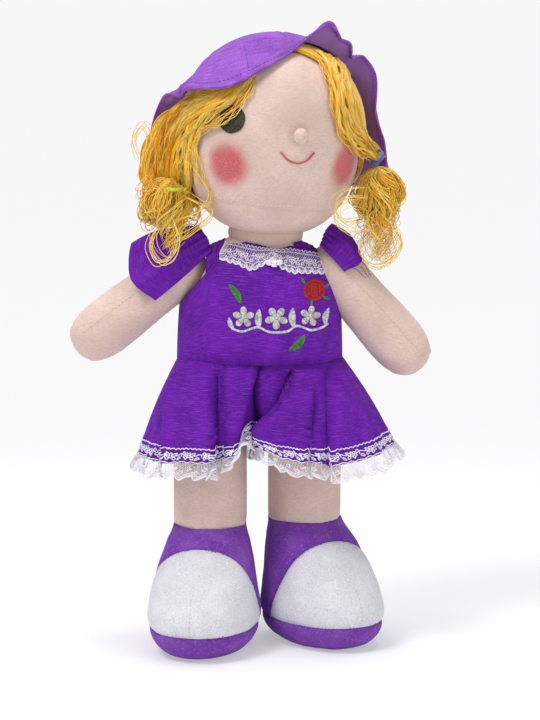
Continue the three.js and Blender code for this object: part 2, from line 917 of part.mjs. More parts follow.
// Romper legs: each hangs from half of the waist and flares to a pleated hem
function romperPoint(side, u, v) {
  const sign = towards[side];
  const angle = 2 * Math.PI * v;
  const forward = -Math.sin(angle);
  const outward = Math.cos(angle);
  const waist = torsoPoint(waistShare, 0);
  const waistDepth = torsoPoint(waistShare, 0.25).y;
  const centreSeam = torsoCentre + sign * (hangGap + clothThickness + seamGap / 2);
  const waistReach = sign * (waist.x - torsoCentre) - (centreSeam - torsoCentre);
  const waistX = centreSeam + waistReach * rounded(Math.max(outward, 0), torsoPower);
  const waistY = waistDepth * rounded(forward, torsoPower);
  const innerHem = (legSpacing - legDiameter) / 2;
  const hemMiddle = (innerHem + hemReaches[side]) / 2;
  const hemHalf = (hemReaches[side] - innerHem) / 2;
  const loose = 1 - clamp(-outward, 0, 1);
  const pleat = pleatDepth * loose * u * Math.cos(pleatCount * angle);
  const power = outward < 0 ? hemInnerPower : hemPower;
  const hemX = sign * (hemMiddle + (hemHalf + pleat) * rounded(outward, power));
  const hemY = (hemDepth / 2 + pleat) * rounded(forward, power);
  const curl = hemCurlRises[side] * Math.exp(-(((angle - hemCurlAngle) / hemCurlSpread) ** 2));
  const hemZ = waistHeight - hemDrops[side] + hemSideRises[side] * Math.abs(outward) + curl;
  const puff = romperPuff * loose * Math.sin(Math.PI * clamp(u, 0, 1));
  return new THREE.Vector3(
    lerp(waistX, hemX, u) + sign * puff * outward,
    lerp(waistY, hemY, u) + puff * forward,
    lerp(waistHeight, hemZ, u),
  );
}

// Cloth through rows at the given shares of the way from the waist to the hem
function romperSheet(side, rowShares, lift, thickness) {
  const rows = rowShares.length - 1;
  const table = rowShares.map((share) => [share]);
  const surface = (u, v) => romperPoint(side, placeAt(table, u), v);
  const columns = pleatCount * pleatSteps;
  const reversed = side === 'right';
  return toSolid(sheet(surface, { rows, columns, lift, thickness, around: true, reversed }));
}

function laceTopShare(side) {
  return 1 - laceOverlap / hemDrops[side];
}

function romperLegSolid(side) {
  const laceTop = laceTopShare(side);
  const rowShares = [0, laceTop / 3, (laceTop * 2) / 3, laceTop, 1];
  const whole = romperSheet(side, rowShares, hangGap, clothThickness);
  const inside = torsoPoint(waistShare, 0.25).y + hangGap / 2;
  const reach = torsoWidth + torsoDepth;
  const openCrotch = boxBetween(
    new THREE.Vector3(torsoCentre - crotchWidth / 2, -inside, crotchHeight),
    new THREE.Vector3(torsoCentre + crotchWidth / 2, inside, waistHeight + cutOverrun),
  );
  const aboveWaist = boxBetween(
    new THREE.Vector3(-reach, -reach, waistHeight - seamGap),
    new THREE.Vector3(reach, reach, waistHeight + cutOverrun),
  );
  return whole.subtract(openCrotch).subtract(aboveWaist);
}

function hemLaceSolid(side) {
  const laceBottom = 1 + laceDrop / hemDrops[side];
  const rowShares = [laceTopShare(side), 1, laceBottom];
  return romperSheet(side, rowShares, hangGap * 2 + clothThickness, laceThickness);
}

// Shoulder tie: loose cloth that lies round the root of the arm, in the arm's frame
function tieSolid(side) {
  const radius = armDiameter / 2;
  const outward = towards[side];
  const surface = (u, v) => {
    const angle = lerp(...tieAngles[side], v);
    const [fromAlong, fromOut, toAlong, toOut] = readShares(tieShares[side], clamp(v, 0, 1));
    const along = radius * lerp(fromAlong, toAlong, u);
    const out = radius * lerp(fromOut, toOut, Math.sin((u * Math.PI) / 2));
    return new THREE.Vector3(outward * out * Math.cos(angle), -out * Math.sin(angle), -along);
  };
  const reversed = side === 'left';
  return toSolid(
    sheet(surface, { rows: 6, columns: 6, lift: 0, thickness: clothThickness, reversed }),
  );
}

// Bow of gathered lace on the neckline
function bowSolid(lift) {
  const share = (bowHeight - torsoBottomHeight) / torsoHeight;
  const [across, deep] = readShares(torsoShares, share);
  const reach = Math.abs(bowPlace - torsoCentre) / ((torsoWidth / 2) * across);
  const front = (1 - reach ** torsoPower) ** (1 / torsoPower);
  const place = new THREE.Vector3(bowPlace, -(torsoDepth / 2) * deep * front - lift, bowHeight);
  const knot = toSolid(new THREE.SphereGeometry(bowKnotDiameter / 2, 10, 6));
  const loops = [-1, 1].map((way) => {
    const loop = new THREE.SphereGeometry(bowLoopLength / 2, 10, 6);
    loop.scale(1, bowKnotDiameter / bowLoopLength, bowLoopWidth / bowLoopLength);
    loop.rotateZ(way * bowSweep);
    loop.translate((way * bowLoopLength) / 2, 0, 0);
    return toSolid(loop);
  });
  return knot.add(loops[0]).add(loops[1]).translate(place.toArray());
}

// Assembly
const doll = new THREE.Group();

const bodiceFit = shoulderSeat('right', turnGap * 2).add(shoulderSeat('left', turnGap * 2));
const cover = torsoCover(clothGap, clothThickness).subtract(bodiceFit);
const frontPrism = prismAlongY(torsoOutline(bodiceFrontShares), -torsoDepth, -seamGap / 2);
const backPrism = prismAlongY(torsoOutline(bodiceBackShares), seamGap / 2, torsoDepth);
const torso = torsoSolid()
  .subtract(shoulderSeat('right', turnGap))
  .subtract(shoulderSeat('left', turnGap))
  .subtract(neckSocket());
addPiece(doll, 'torso', torso, skinCloth);
addPiece(doll, 'bodice_front', cover.intersect(frontPrism), romperCloth);
addPiece(doll, 'bodice_back', cover.intersect(backPrism), romperCloth);

const laceLift = clothGap * 2 + clothThickness;
const necklineLace = torsoCover(laceLift, laceThickness)
  .intersect(prismAlongY(torsoOutline(necklineLaceShares), -torsoDepth, 0))
  .subtract(bodiceFit);
addPiece(doll, 'neckline_lace', necklineLace, laceThread);
const bowLift = laceLift + laceThickness + bowKnotDiameter / 2;
const clearLace = torsoCover(0, laceLift + laceThickness + seamGap);
addPiece(doll, 'lace_bow', bowSolid(bowLift).subtract(clearLace), laceThread);

const higherFront = prismAlongY(torsoOutline(bodiceFrontShares, seamGap), -torsoDepth, 0);
const higherBack = prismAlongY(torsoOutline(bodiceBackShares, seamGap), 0, torsoDepth);
const shoulders = {};
sides.forEach((side) => {
  const sign = towards[side];
  const strapPlace = torsoCentre + sign * strapReach;
  const band = boxBetween(
    new THREE.Vector3(strapPlace - strapWidth / 2, -torsoDepth, waistHeight),
    new THREE.Vector3(strapPlace + strapWidth / 2, torsoDepth, torsoTopHeight + cutOverrun),
  );
  const strap = cover.intersect(band).subtract(higherFront).subtract(higherBack);
  addPiece(doll, `shoulder_strap_${side}`, strap, romperCloth);
  addPiece(doll, `romper_leg_${side}`, romperLegSolid(side), romperCloth);
  addPiece(doll, `hem_lace_${side}`, hemLaceSolid(side), laceThread);

  const shoulder = new THREE.Group();
  shoulder.name = `shoulder_${side}`;
  shoulder.position.copy(shoulderPlaces[side]);
  shoulder.rotation.y = armAngles[side];
  doll.add(shoulder);
  shoulders[side] = shoulder;
  addPiece(shoulder, `arm_${side}`, armSolid(), skinCloth);
  addPiece(shoulder, `shoulder_tie_${side}`, tieSolid(side), romperCloth);

  const hip = new THREE.Group();
  hip.name = `hip_${side}`;
  hip.position.set((sign * legSpacing) / 2, 0, hipHeight);
  doll.add(hip);
  addPiece(hip, `leg_${side}`, legSolid(side), skinCloth);

  const foot = new THREE.Group();
  foot.position.set(0, legStrides[side], -hipHeight);
  foot.rotation.z = footTurns[side];
  hip.add(foot);
  addFoot(foot, side);
});

const neck = new THREE.Group();
neck.name = 'neck_base';
neck.position.set(neckCentre, 0, neckPivotHeight);
doll.add(neck);
addPiece(neck, 'neck', neckSolid(), skinCloth);

const headGroup = new THREE.Group();
headGroup.name = 'head_base';
headGroup.rotation.set(0, headRoll, headYaw);
neck.add(headGroup);
const skull = new THREE.Group();
skull.position.z = headRise;
headGroup.add(skull);

const socket = new THREE.SphereGeometry(neckBallDiameter / 2 + turnGap, limbSegments, 14);
socket.translate(0, 0, -headRise);
const clearHead = headForm(seamGap);
addPiece(skull, 'head', headForm(0).subtract(toSolid(socket)), skinCloth);
addPiece(skull, 'nose', noseSolid(), skinCloth);

const crownSurface = (u, v) => crownPoint(hatSeamAngle * (1 - u), v);
const crown = sheet(crownSurface, {
  rows: crownSteps,
  columns: hatSegments,
  lift: 0,
  thickness: hatThickness,
  around: true,
  crown: true,
  reversed: true,
});
const clearBrim = brimSolid(seamGap);
addPiece(skull, 'hat_crown', toSolid(crown).subtract(clearBrim), hatCloth);
addPiece(skull, 'hat_brim', brimSolid(0), hatCloth);
addPiece(skull, 'hair_cap', hairCapSolid().subtract(clearBrim), hairFibre);

const eyeShell = headForm(seamGap + eyeThickness).subtract(clearHead);
const clearEyeShell = headForm(seamGap * 2 + eyeThickness);
const clearHair = headForm(seamGap * 2 + hairCapThickness);
doll.updateMatrixWorld(true);
sides.forEach((side) => {
  const azimuth = towards[side] * eyeSpread;
  const eyePlug = facePlug(azimuth, eyeRise, eyeDiameter / 2, noseHeight);
  addPiece(skull, `eye_${side}`, eyeShell.intersect(eyePlug), eyeFelt);

  const clearEye = facePlug(azimuth, eyeRise, eyeDiameter / 2 + seamGap, noseHeight).intersect(clearEyeShell);
  const lock = lockSolid(side)
    .subtract(clearHead)
    .subtract(clearEye)
    .subtract(clearBrim)
    .subtract(hairCapSolid(seamGap));
  const shoulderToSkull = skull.matrixWorld.clone().invert().multiply(shoulders[side].matrixWorld);
  const restingArm = armSolid(bunchRest).transform(shoulderToSkull.elements);
  const bunch = bunchSolid(side)
    .subtract(clearHair)
    .subtract(lockSolid(side, seamGap))
    .subtract(restingArm);
  addPiece(skull, `hair_lock_${side}`, lock, hairFibre);
  addPiece(skull, `hair_band_${side}`, bandSolid(side), side === 'right' ? yellowElastic : blueElastic);
  addPiece(skull, `hair_bunch_${side}`, bunch, hairFibre);
});

// The part's origin lies on the floor, under the middle of the whole doll
const middle = new THREE.Box3().setFromObject(doll, true).getCenter(new THREE.Vector3());
doll.position.set(-middle.x, -middle.y, 0);

export default doll;
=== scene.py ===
# A stuffed rag doll in a romper and a soft hat, dressed round its solids.
# Sizes are in millimetres in the doll's own frame, +Z up, facing -Y, and become metres when placed.

import json
import math

import bmesh
import bpy
import numpy as np
from mathutils import Matrix, Vector
from mathutils.bvhtree import BVHTree

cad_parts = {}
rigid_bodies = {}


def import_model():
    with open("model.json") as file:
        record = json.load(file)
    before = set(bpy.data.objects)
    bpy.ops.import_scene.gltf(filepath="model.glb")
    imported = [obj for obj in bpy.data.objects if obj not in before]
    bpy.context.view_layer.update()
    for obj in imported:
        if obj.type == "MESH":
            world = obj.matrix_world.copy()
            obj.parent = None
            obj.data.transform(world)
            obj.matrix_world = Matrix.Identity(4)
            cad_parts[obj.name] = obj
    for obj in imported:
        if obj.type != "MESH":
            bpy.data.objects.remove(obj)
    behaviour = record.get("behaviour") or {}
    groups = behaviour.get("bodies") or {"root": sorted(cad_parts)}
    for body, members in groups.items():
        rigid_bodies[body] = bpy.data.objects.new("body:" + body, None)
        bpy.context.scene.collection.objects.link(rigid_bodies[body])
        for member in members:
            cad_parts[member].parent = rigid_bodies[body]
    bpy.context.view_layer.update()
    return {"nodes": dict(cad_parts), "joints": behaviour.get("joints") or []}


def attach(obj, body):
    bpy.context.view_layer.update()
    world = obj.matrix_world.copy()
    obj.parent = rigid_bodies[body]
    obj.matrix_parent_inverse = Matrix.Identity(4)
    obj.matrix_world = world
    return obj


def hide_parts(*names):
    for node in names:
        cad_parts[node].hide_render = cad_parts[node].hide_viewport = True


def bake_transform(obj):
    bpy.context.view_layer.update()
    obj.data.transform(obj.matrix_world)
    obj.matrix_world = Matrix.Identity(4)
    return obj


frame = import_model()

MM = 0.001
SIDES = ("right", "left")
TOWARDS = {"right": -1, "left": 1}
rng = np.random.default_rng(11)

JOINTS = {joint["name"]: Vector(joint["pos_m"]) for joint in frame["joints"]}
NECK_PIVOT = Vector((6, 0, 303))
SHIFT = JOINTS["neck_turn"] / MM - NECK_PIVOT


# ---------------------------------------------------------------- camera

# The photograph's camera: the height of its picture and its focal length in pixels, its place and its aim
PICTURE_HEIGHT, FOCAL_LENGTH = 720, 2753
CAMERA_PLACE = Vector((9.08, -1980.5, 483.8))
CAMERA_TARGET = Vector((9.08, 0, 205.5))


def placed(point):
    """A point of the doll's own frame, in the row frame."""
    return (Vector(point) + SHIFT) * MM


camera_data = bpy.data.cameras.new("camera")
camera = bpy.data.objects.new("camera", camera_data)
bpy.context.scene.collection.objects.link(camera)
camera_data.lens = camera_data.sensor_width / (PICTURE_HEIGHT / FOCAL_LENGTH)
camera_data.clip_start = 0.05
camera_data.clip_end = 50
camera.location = placed(CAMERA_PLACE)
looking = placed(CAMERA_TARGET) - placed(CAMERA_PLACE)
camera.rotation_euler = looking.to_track_quat("-Z", "Y").to_euler()
bpy.context.scene.camera = camera


# ---------------------------------------------------------------- numbers


def lerp(start, end, part):
    return start + (end - start) * part


def rounded(value, power):
    return np.sign(value) * np.abs(value) ** (2 / power)


def smoothstep(value, low, high):
    part = np.clip((value - low) / (high - low), 0, 1)
    return part * part * (3 - 2 * part)


def unit(vectors):
    return vectors / np.maximum(np.linalg.norm(vectors, axis=-1, keepdims=True), 1e-9)


def ring_angles(count):
    """Angles all the way round, the first one not repeated."""
    return np.linspace(0, 2 * np.pi, count + 1)[:-1]


def stacked(x, y, z):
    """Points from coordinates of shapes that fit together."""
    return np.stack(np.broadcast_arrays(x, y, z), -1)


def read_shares(table, place):
    """Values of a table of rows (place, value, ...) at places, with a smooth cubic between rows."""
    rows = np.array(table, float)
    flat = np.asarray(place, float).ravel()
    row = np.clip(np.searchsorted(rows[:, 0], flat, side="left") - 1, 0, len(rows) - 2)
    start, end = rows[row], rows[row + 1]
    before, after = rows[np.maximum(row - 1, 0)], rows[np.minimum(row + 2, len(rows) - 1)]
    span = (end - start)[:, :1]
    part = np.clip((flat[:, None] - start[:, :1]) / span, 0, 1)
    leave = (end - before) / (end - before)[:, :1] * span
    arrive = (after - start) / (after - start)[:, :1] * span
    square, cube = part**2, part**3
    values = (
        start * (2 * cube - 3 * square + 1)
        + leave * (cube - 2 * square + part)
        + end * (3 * square - 2 * cube)
        + arrive * (cube - square)
    )[:, 1:]
    return np.moveaxis(values.reshape(np.shape(place) + (rows.shape[1] - 1,)), -1, 0)


def through(places, steps):
    """A smooth line through places, evenly stepped from each to the next."""
    rows = [(index, *place) for index, place in enumerate(places)]
    return np.stack(read_shares(rows, np.linspace(0, len(places) - 1, steps)), -1)


def noise(points, size, seed=0):
    """A smooth value from -1 to 1 that varies over the given size, as a sum of waves."""
    waves = np.random.default_rng(seed)
    pitch = 2 * np.pi / size
    value = 0
    for _ in range(7):
        way = unit(waves.normal(size=3))
        value = value + np.sin(points @ way * pitch * waves.uniform(0.6, 1.5) + waves.uniform(0, 6.3))
    return value / 4


# ---------------------------------------------------------------- meshes


def new_object(name, mesh):
    obj = bpy.data.objects.new(name, mesh)
    bpy.context.scene.collection.objects.link(obj)
    return obj


def mesh_from(name, points, faces):
    """A smooth object from points in millimetres of the doll's own frame."""
    mesh = bpy.data.meshes.new(name)
    metres = (np.asarray(points, float) + np.array(SHIFT)) * MM
    mesh.from_pydata(metres.tolist(), [], [list(map(int, face)) for face in faces])
    mesh.update()
    mesh.polygons.foreach_set("use_smooth", np.ones(len(mesh.polygons), bool))
    return new_object(name, mesh)


def set_attribute(obj, name, values):
    attribute = obj.data.attributes.new(name, "FLOAT", "POINT")
    attribute.data.foreach_set("value", np.asarray(values, np.float32).ravel())


def set_uv(obj, values):
    """A UV map in metres from one (across, along) pair for each vertex, in millimetres."""
    layer = obj.data.uv_layers.new(name="UVMap")
    corners = np.empty(len(obj.data.loops), np.int32)
    obj.data.loops.foreach_get("vertex_index", corners)
    layer.data.foreach_set("uv", (np.asarray(values)[corners] * MM).astype(np.float32).ravel())


def normals_of(surface, u, v, facing):
    """The surface's unit normals, turned round where facing is -1."""
    step = 0.002
    along_u = surface(u + step, v) - surface(u - step, v)
    along_v = surface(u, v + step) - surface(u, v - step)
    return unit(np.cross(along_v, along_u)) * facing


def line_lengths(points):
    """How far each point of one line lies along it."""
    return np.concatenate([[0], np.cumsum(np.linalg.norm(np.diff(points, axis=0), axis=1))])


def at_lengths(points, far, places):
    """The points at some lengths along a line whose own points lie at far."""
    return np.stack([np.interp(places, far, column) for column in points.T], -1)


def run_lengths(points, axis):
    """How far each grid point lies along the grid, by the mean over the other axis."""
    steps = np.linalg.norm(np.diff(points, axis=axis), axis=-1).mean(axis=1 - axis)
    return np.concatenate([[0], np.cumsum(steps)])


def grid_faces(rows, columns, around):
    """Four-sided faces over a grid of points, closed round its columns where around is set."""
    faces = []
    last = columns if around else columns - 1
    for row in range(rows - 1):
        for column in range(last):
            low, side = row * columns + column, row * columns + (column + 1) % columns
            faces.append((low, side, side + columns, low + columns))
    return faces


def closed_faces(rows, count):
    """Faces of rings in a row, with a cap at both ends."""
    last = (rows - 1) * count
    return [*grid_faces(rows, count, True), list(range(count))[::-1], list(range(last, last + count))]


def cloth(name, surface, us, vs, lift, thickness, around=False, facing=1):
    """A closed cloth of even thickness over surface(u, v), its cut edges rounded."""
    grid_u, grid_v = np.meshgrid(us, vs, indexing="ij")
    middle = surface(grid_u, grid_v)
    normal = normals_of(surface, grid_u, grid_v, facing)
    rows, columns = middle.shape[:2]
    inner = middle + normal * lift
    outer = middle + normal * (lift + thickness)
    points = np.concatenate([outer.reshape(-1, 3), inner.reshape(-1, 3)])
    outside = grid_faces(rows, columns, around)
    count = rows * columns
    faces = [face if facing > 0 else face[::-1] for face in outside]
    faces += [tuple(index + count for index in (face[::-1] if facing > 0 else face)) for face in outside]
    rims = []
    wrap = columns if around else columns - 1
    for column in range(wrap):
        side = (column + 1) % columns
        rims.append((side, column))
        rims.append(((rows - 1) * columns + column, (rows - 1) * columns + side))
    if not around:
        for row in range(rows - 1):
            rims.append((row * columns, (row + 1) * columns))
            rims.append(((row + 2) * columns - 1, (row + 1) * columns - 1))
    for first, second in rims:
        face = (first, second, second + count, first + count)
        faces.append(face if facing > 0 else face[::-1])
    obj = mesh_from(name, points, faces)
    along, across = run_lengths(middle, 0), run_lengths(middle, 1)
    uv = np.stack(np.meshgrid(along, across, indexing="ij")[::-1], -1).reshape(-1, 2)
    set_uv(obj, np.concatenate([uv, uv]))
    set_attribute(obj, "inside", np.repeat([0, 1], count))
    obj["flat"] = [float(across[-1]) * MM, float(along[-1]) * MM]
    area = np.linalg.norm(
        np.cross(middle[1:, 1:] - middle[:-1, :-1], middle[1:, :-1] - middle[:-1, 1:]), axis=-1
    ).sum() / 2
    obj["cut"] = float(area) * MM * MM
    return obj


def tubes(name, paths, radius, tint, sides=4):
    """One mesh of many closed thin tubes. paths is (count, steps, 3), and each tube has its tint."""
    paths = np.asarray(paths, float)
    count, steps = paths.shape[:2]
    radius = np.broadcast_to(radius, (count, steps))
    tangent = unit(np.gradient(paths, axis=1))
    normal = np.empty_like(tangent)
    helper = np.where(np.abs(tangent[:, :1, 2:]) > 0.8, [1.0, 0, 0], [0, 0, 1.0])
    normal[:, 0] = unit(np.cross(tangent[:, 0], helper[:, 0]))
    for step in range(1, steps):
        last = normal[:, step - 1]
        here = tangent[:, step]
        normal[:, step] = unit(last - (last * here).sum(-1, keepdims=True) * here)
    other = np.cross(tangent, normal)
    angles = 2 * np.pi * np.arange(sides) / sides
    rings = paths[:, :, None] + radius[:, :, None, None] * (
        normal[:, :, None] * np.cos(angles)[:, None] + other[:, :, None] * np.sin(angles)[:, None]
    )
    start = np.arange(count)[:, None, None] * steps * sides
    ring = np.arange(steps - 1)[None, :, None] * sides
    side = np.arange(sides)[None, None, :]
    low, next_low = start + ring + side, start + ring + (side + 1) % sides
    quads = np.stack([low, next_low, next_low + sides, low + sides], -1).reshape(-1, 4)
    first = start[:, 0] + np.arange(sides)[None, ::-1]
    last = start[:, 0] + (steps - 1) * sides + np.arange(sides)[None]
    faces = [*quads.tolist(), *first.tolist(), *last.tolist()]
    obj = mesh_from(name, rings.reshape(-1, 3), faces)
    set_attribute(obj, "tint", np.repeat(np.asarray(tint, float), steps * sides))
    return obj


def threads(name, lines, radius, low=0, high=1, sides=4):
    """Tubes whose tone differs from one to the next."""
    lines = np.array(lines)
    return tubes(name, lines, radius, rng.uniform(low, high, len(lines)), sides)


def join(name, objects):
    """One object from several, with their materials and attributes."""
    for obj in bpy.context.view_layer.objects:
        obj.select_set(obj in objects)
    bpy.context.view_layer.objects.active = objects[0]
    bpy.ops.object.join()
    objects[0].name = name
    return objects[0]


def apply_modifiers(obj):
    graph = bpy.context.evaluated_depsgraph_get()
    mesh = bpy.data.meshes.new_from_object(obj.evaluated_get(graph))
    obj.modifiers.clear()
    obj.data = mesh


# ---------------------------------------------------------------- materials


def colour(*levels):
    """A colour written as 0 to 255 in sRGB, for a shader."""
    shares = [level / 255 for level in levels]
    linear = [c / 12.92 if c <= 0.04045 else ((c + 0.055) / 1.055) ** 2.4 for c in shares]
    return (*linear, 1.0)


class Shader:
    """A material's node tree, built by name."""

    def __init__(self, name):
        self.material = bpy.data.materials.new(name)
        self.material.use_nodes = True
        self.tree = self.material.node_tree
        self.main = self.tree.nodes["Principled BSDF"]

    def add(self, kind, inputs=None, **settings):
        node = self.tree.nodes.new("ShaderNode" + kind)
        for key, value in settings.items():
            setattr(node, key, value)
        for key, value in (inputs or {}).items():
            self.feed(node.inputs[key], value)
        return node

    def feed(self, socket, value):
        if isinstance(value, bpy.types.NodeSocket):
            self.tree.links.new(value, socket)
        else:
            socket.default_value = value

    def set(self, **values):
        for key, value in values.items():
            self.feed(self.main.inputs[key.replace("_", " ")], value)

    def math(self, operation, first, second=0.5):
        return self.add("Math", {0: first, 1: second}, operation=operation).outputs[0]

    def mix(self, part, first, second):
        node = self.add("Mix", data_type="RGBA")
        self.feed(node.inputs[0], part)
        self.feed(node.inputs[6], first)
        self.feed(node.inputs[7], second)
        return node.outputs[2]

    def spread(self, value, low, high, to_low=0.0, to_high=1.0):
        inputs = {"Value": value, "From Min": low, "From Max": high, "To Min": to_low, "To Max": to_high}
        return self.add("MapRange", inputs).outputs[0]

    def noise(self, place, size, detail=2.0, roughness=0.5):
        """Noise of the given size in millimetres over a place in metres."""
        inputs = {"Vector": place, "Scale": 1 / (size * MM), "Detail": detail, "Roughness": roughness}
        return self.add("TexNoise", inputs).outputs[0]

    def bump(self, height, depth):
        inputs = {"Height": height, "Distance": depth * MM, "Strength": 1.0}
        self.set(Normal=self.add("Bump", inputs).outputs[0])

    def attribute(self, name):
        return self.add("Attribute", attribute_name=name).outputs["Fac"]

    def object_place(self):
        return self.add("TexCoord").outputs["Object"]

    def weave(self, pitch):
        """Threads over and under each other at the given pitch in millimetres, from 0 to 1."""
        uv = self.add("SeparateXYZ", {0: self.add("UVMap").outputs[0]})
        waves = []
        for axis in (0, 1):
            turned = self.math("MULTIPLY", uv.outputs[axis], 2 * math.pi / (pitch * MM))
            waves.append(self.math("SINE", turned))
        return self.spread(self.math("MULTIPLY", waves[0], waves[1]), -1, 1)


def woven(name, base, dark, light, pitch, sheen, lining=None):
    """Cotton cloth: its weave, uneven threads both ways and faint pilling. A lining colours its inside."""
    base, dark, light = colour(*base), colour(*dark), colour(*light)
    shader = Shader(name)
    place = shader.object_place()
    uv = shader.add("UVMap").outputs[0]
    weave = shader.weave(pitch)
    broad = shader.noise(place, 22.0, 3.0)
    fine = shader.noise(place, 0.8, 3.0, 0.7)
    slubs = []
    for scale in ((1.0, 0.1, 1.0), (0.08, 1.0, 1.0)):
        drawn_out = shader.add("Mapping", {"Vector": uv, "Scale": scale}).outputs[0]
        slubs.append(shader.noise(drawn_out, 0.75, 2.0))
    along, across = slubs
    body = shader.mix(shader.spread(broad, 0.35, 0.65, 0.35, 1.0), dark, base)
    body = shader.mix(shader.spread(across, 0.5, 0.7, 0.0, 0.5), body, light)
    body = shader.mix(shader.spread(along, 0.5, 0.72, 0.0, 0.4), body, dark)
    body = shader.mix(shader.spread(fine, 0.52, 0.72, 0.0, 0.4), body, light)
    if lining is not None:
        body = shader.mix(shader.attribute("inside"), body, colour(*lining))
    body = shader.mix(shader.spread(weave, 0.1, 0.5, 0.3, 0.0), body, dark)
    shader.set(Base_Color=body, Roughness=0.85, Sheen_Weight=sheen, Sheen_Roughness=0.5)
    shader.set(Sheen_Tint=light, Specular_IOR_Level=0.25)
    height = shader.math("ADD", shader.math("MULTIPLY", weave, 0.6), shader.math("MULTIPLY", fine, 0.8))
    height = shader.math("ADD", height, shader.math("MULTIPLY", across, 0.7))
    shader.bump(height, 0.18)
    return shader.material


def napped(name, base, dark, light, nap, depth, sheen):
    """Short plush: speckled pile whose nap lies in soft patches."""
    base, dark, light = colour(*base), colour(*dark), colour(*light)
    shader = Shader(name)
    place = shader.object_place()
    pile = shader.noise(place, nap, 4.0, 0.75)
    specks = shader.noise(place, nap * 1.9, 2.0, 0.6)
    patches = shader.noise(place, 16.0, 2.0)
    body = shader.mix(shader.spread(pile, 0.36, 0.6), dark, base)
    body = shader.mix(shader.spread(specks, 0.55, 0.7, 0.0, 0.7), body, dark)
    body = shader.mix(shader.spread(specks, 0.28, 0.43, 0.6, 0.0), body, light)
    body = shader.mix(shader.spread(patches, 0.45, 0.7, 0.0, 0.25), body, light)
    shader.set(Base_Color=body, Roughness=0.95, Sheen_Weight=sheen, Sheen_Roughness=0.6)
    shader.set(Sheen_Tint=light, Specular_IOR_Level=0.1)
    shader.bump(pile, depth)
    return shader.material


def skin(name, blushing=False):
    """Brushed jersey with fine ribs of knitting, a little uneven in tone."""
    shader = Shader(name)
    place = shader.object_place()
    stretched = shader.add("Mapping", {"Vector": place, "Scale": (0.35, 0.35, 1.0)}).outputs[0]
    knit = shader.noise(stretched, 0.9, 3.0, 0.7)
    broad = shader.noise(place, 30.0, 2.0)
    body = shader.mix(shader.spread(broad, 0.35, 0.65), colour(210, 184, 173), colour(224, 200, 190))
    body = shader.mix(shader.spread(knit, 0.4, 0.66, 0.0, 0.5), body, colour(192, 162, 148))
    if blushing:
        speckle = shader.spread(shader.noise(place, 0.8, 3.0, 0.8), 0.3, 0.62, 0.62, 1.0)
        worn = shader.math("MULTIPLY", shader.attribute("blush"), speckle)
        body = shader.mix(worn, body, colour(190, 46, 72))
    shader.set(Base_Color=body, Roughness=0.88, Sheen_Weight=0.35, Sheen_Roughness=0.5)
    shader.set(Sheen_Tint=colour(255, 240, 235), Specular_IOR_Level=0.2)
    shader.bump(knit, 0.22)
    return shader.material


def thread(name, base, light, roughness=0.5, sheen=0.3):
    """Spun thread whose strands catch the light, with tone from each stitch's own tint."""
    shader = Shader(name)
    place = shader.object_place()
    tint = shader.attribute("tint")
    twist = shader.noise(place, 0.35, 2.0)
    part = shader.math("ADD", shader.math("MULTIPLY", tint, 0.7), shader.math("MULTIPLY", twist, 0.4))
    tone = shader.mix(part, colour(*base), colour(*light))
    shader.set(Base_Color=tone, Roughness=roughness, Sheen_Weight=sheen)
    shader.bump(twist, 0.06)
    return shader.material


def hair_fibre(name):
    """Glossy golden fibre, deeper at the root and pale where strands stand up."""
    shader = Shader(name)
    tint = shader.attribute("tint")
    streaks = shader.noise(shader.object_place(), 3.0, 2.0)
    part = shader.math("ADD", shader.math("MULTIPLY", tint, 0.75), shader.math("MULTIPLY", streaks, 0.35))
    ramp = shader.add("ValToRGB", {"Fac": part})
    stops = ramp.color_ramp.elements
    stops[0].position, stops[0].color = 0.05, colour(226, 138, 8)
    stops[1].position, stops[1].color = 0.95, colour(255, 232, 120)
    stops.new(0.35).color = colour(252, 178, 8)
    stops.new(0.65).color = colour(255, 202, 34)
    shader.set(Base_Color=ramp.outputs[0], Roughness=0.34, Specular_IOR_Level=0.55)
    shader.set(Anisotropic=0.5, Sheen_Weight=0.15, Coat_Weight=0.15, Coat_Roughness=0.3)
    return shader.material


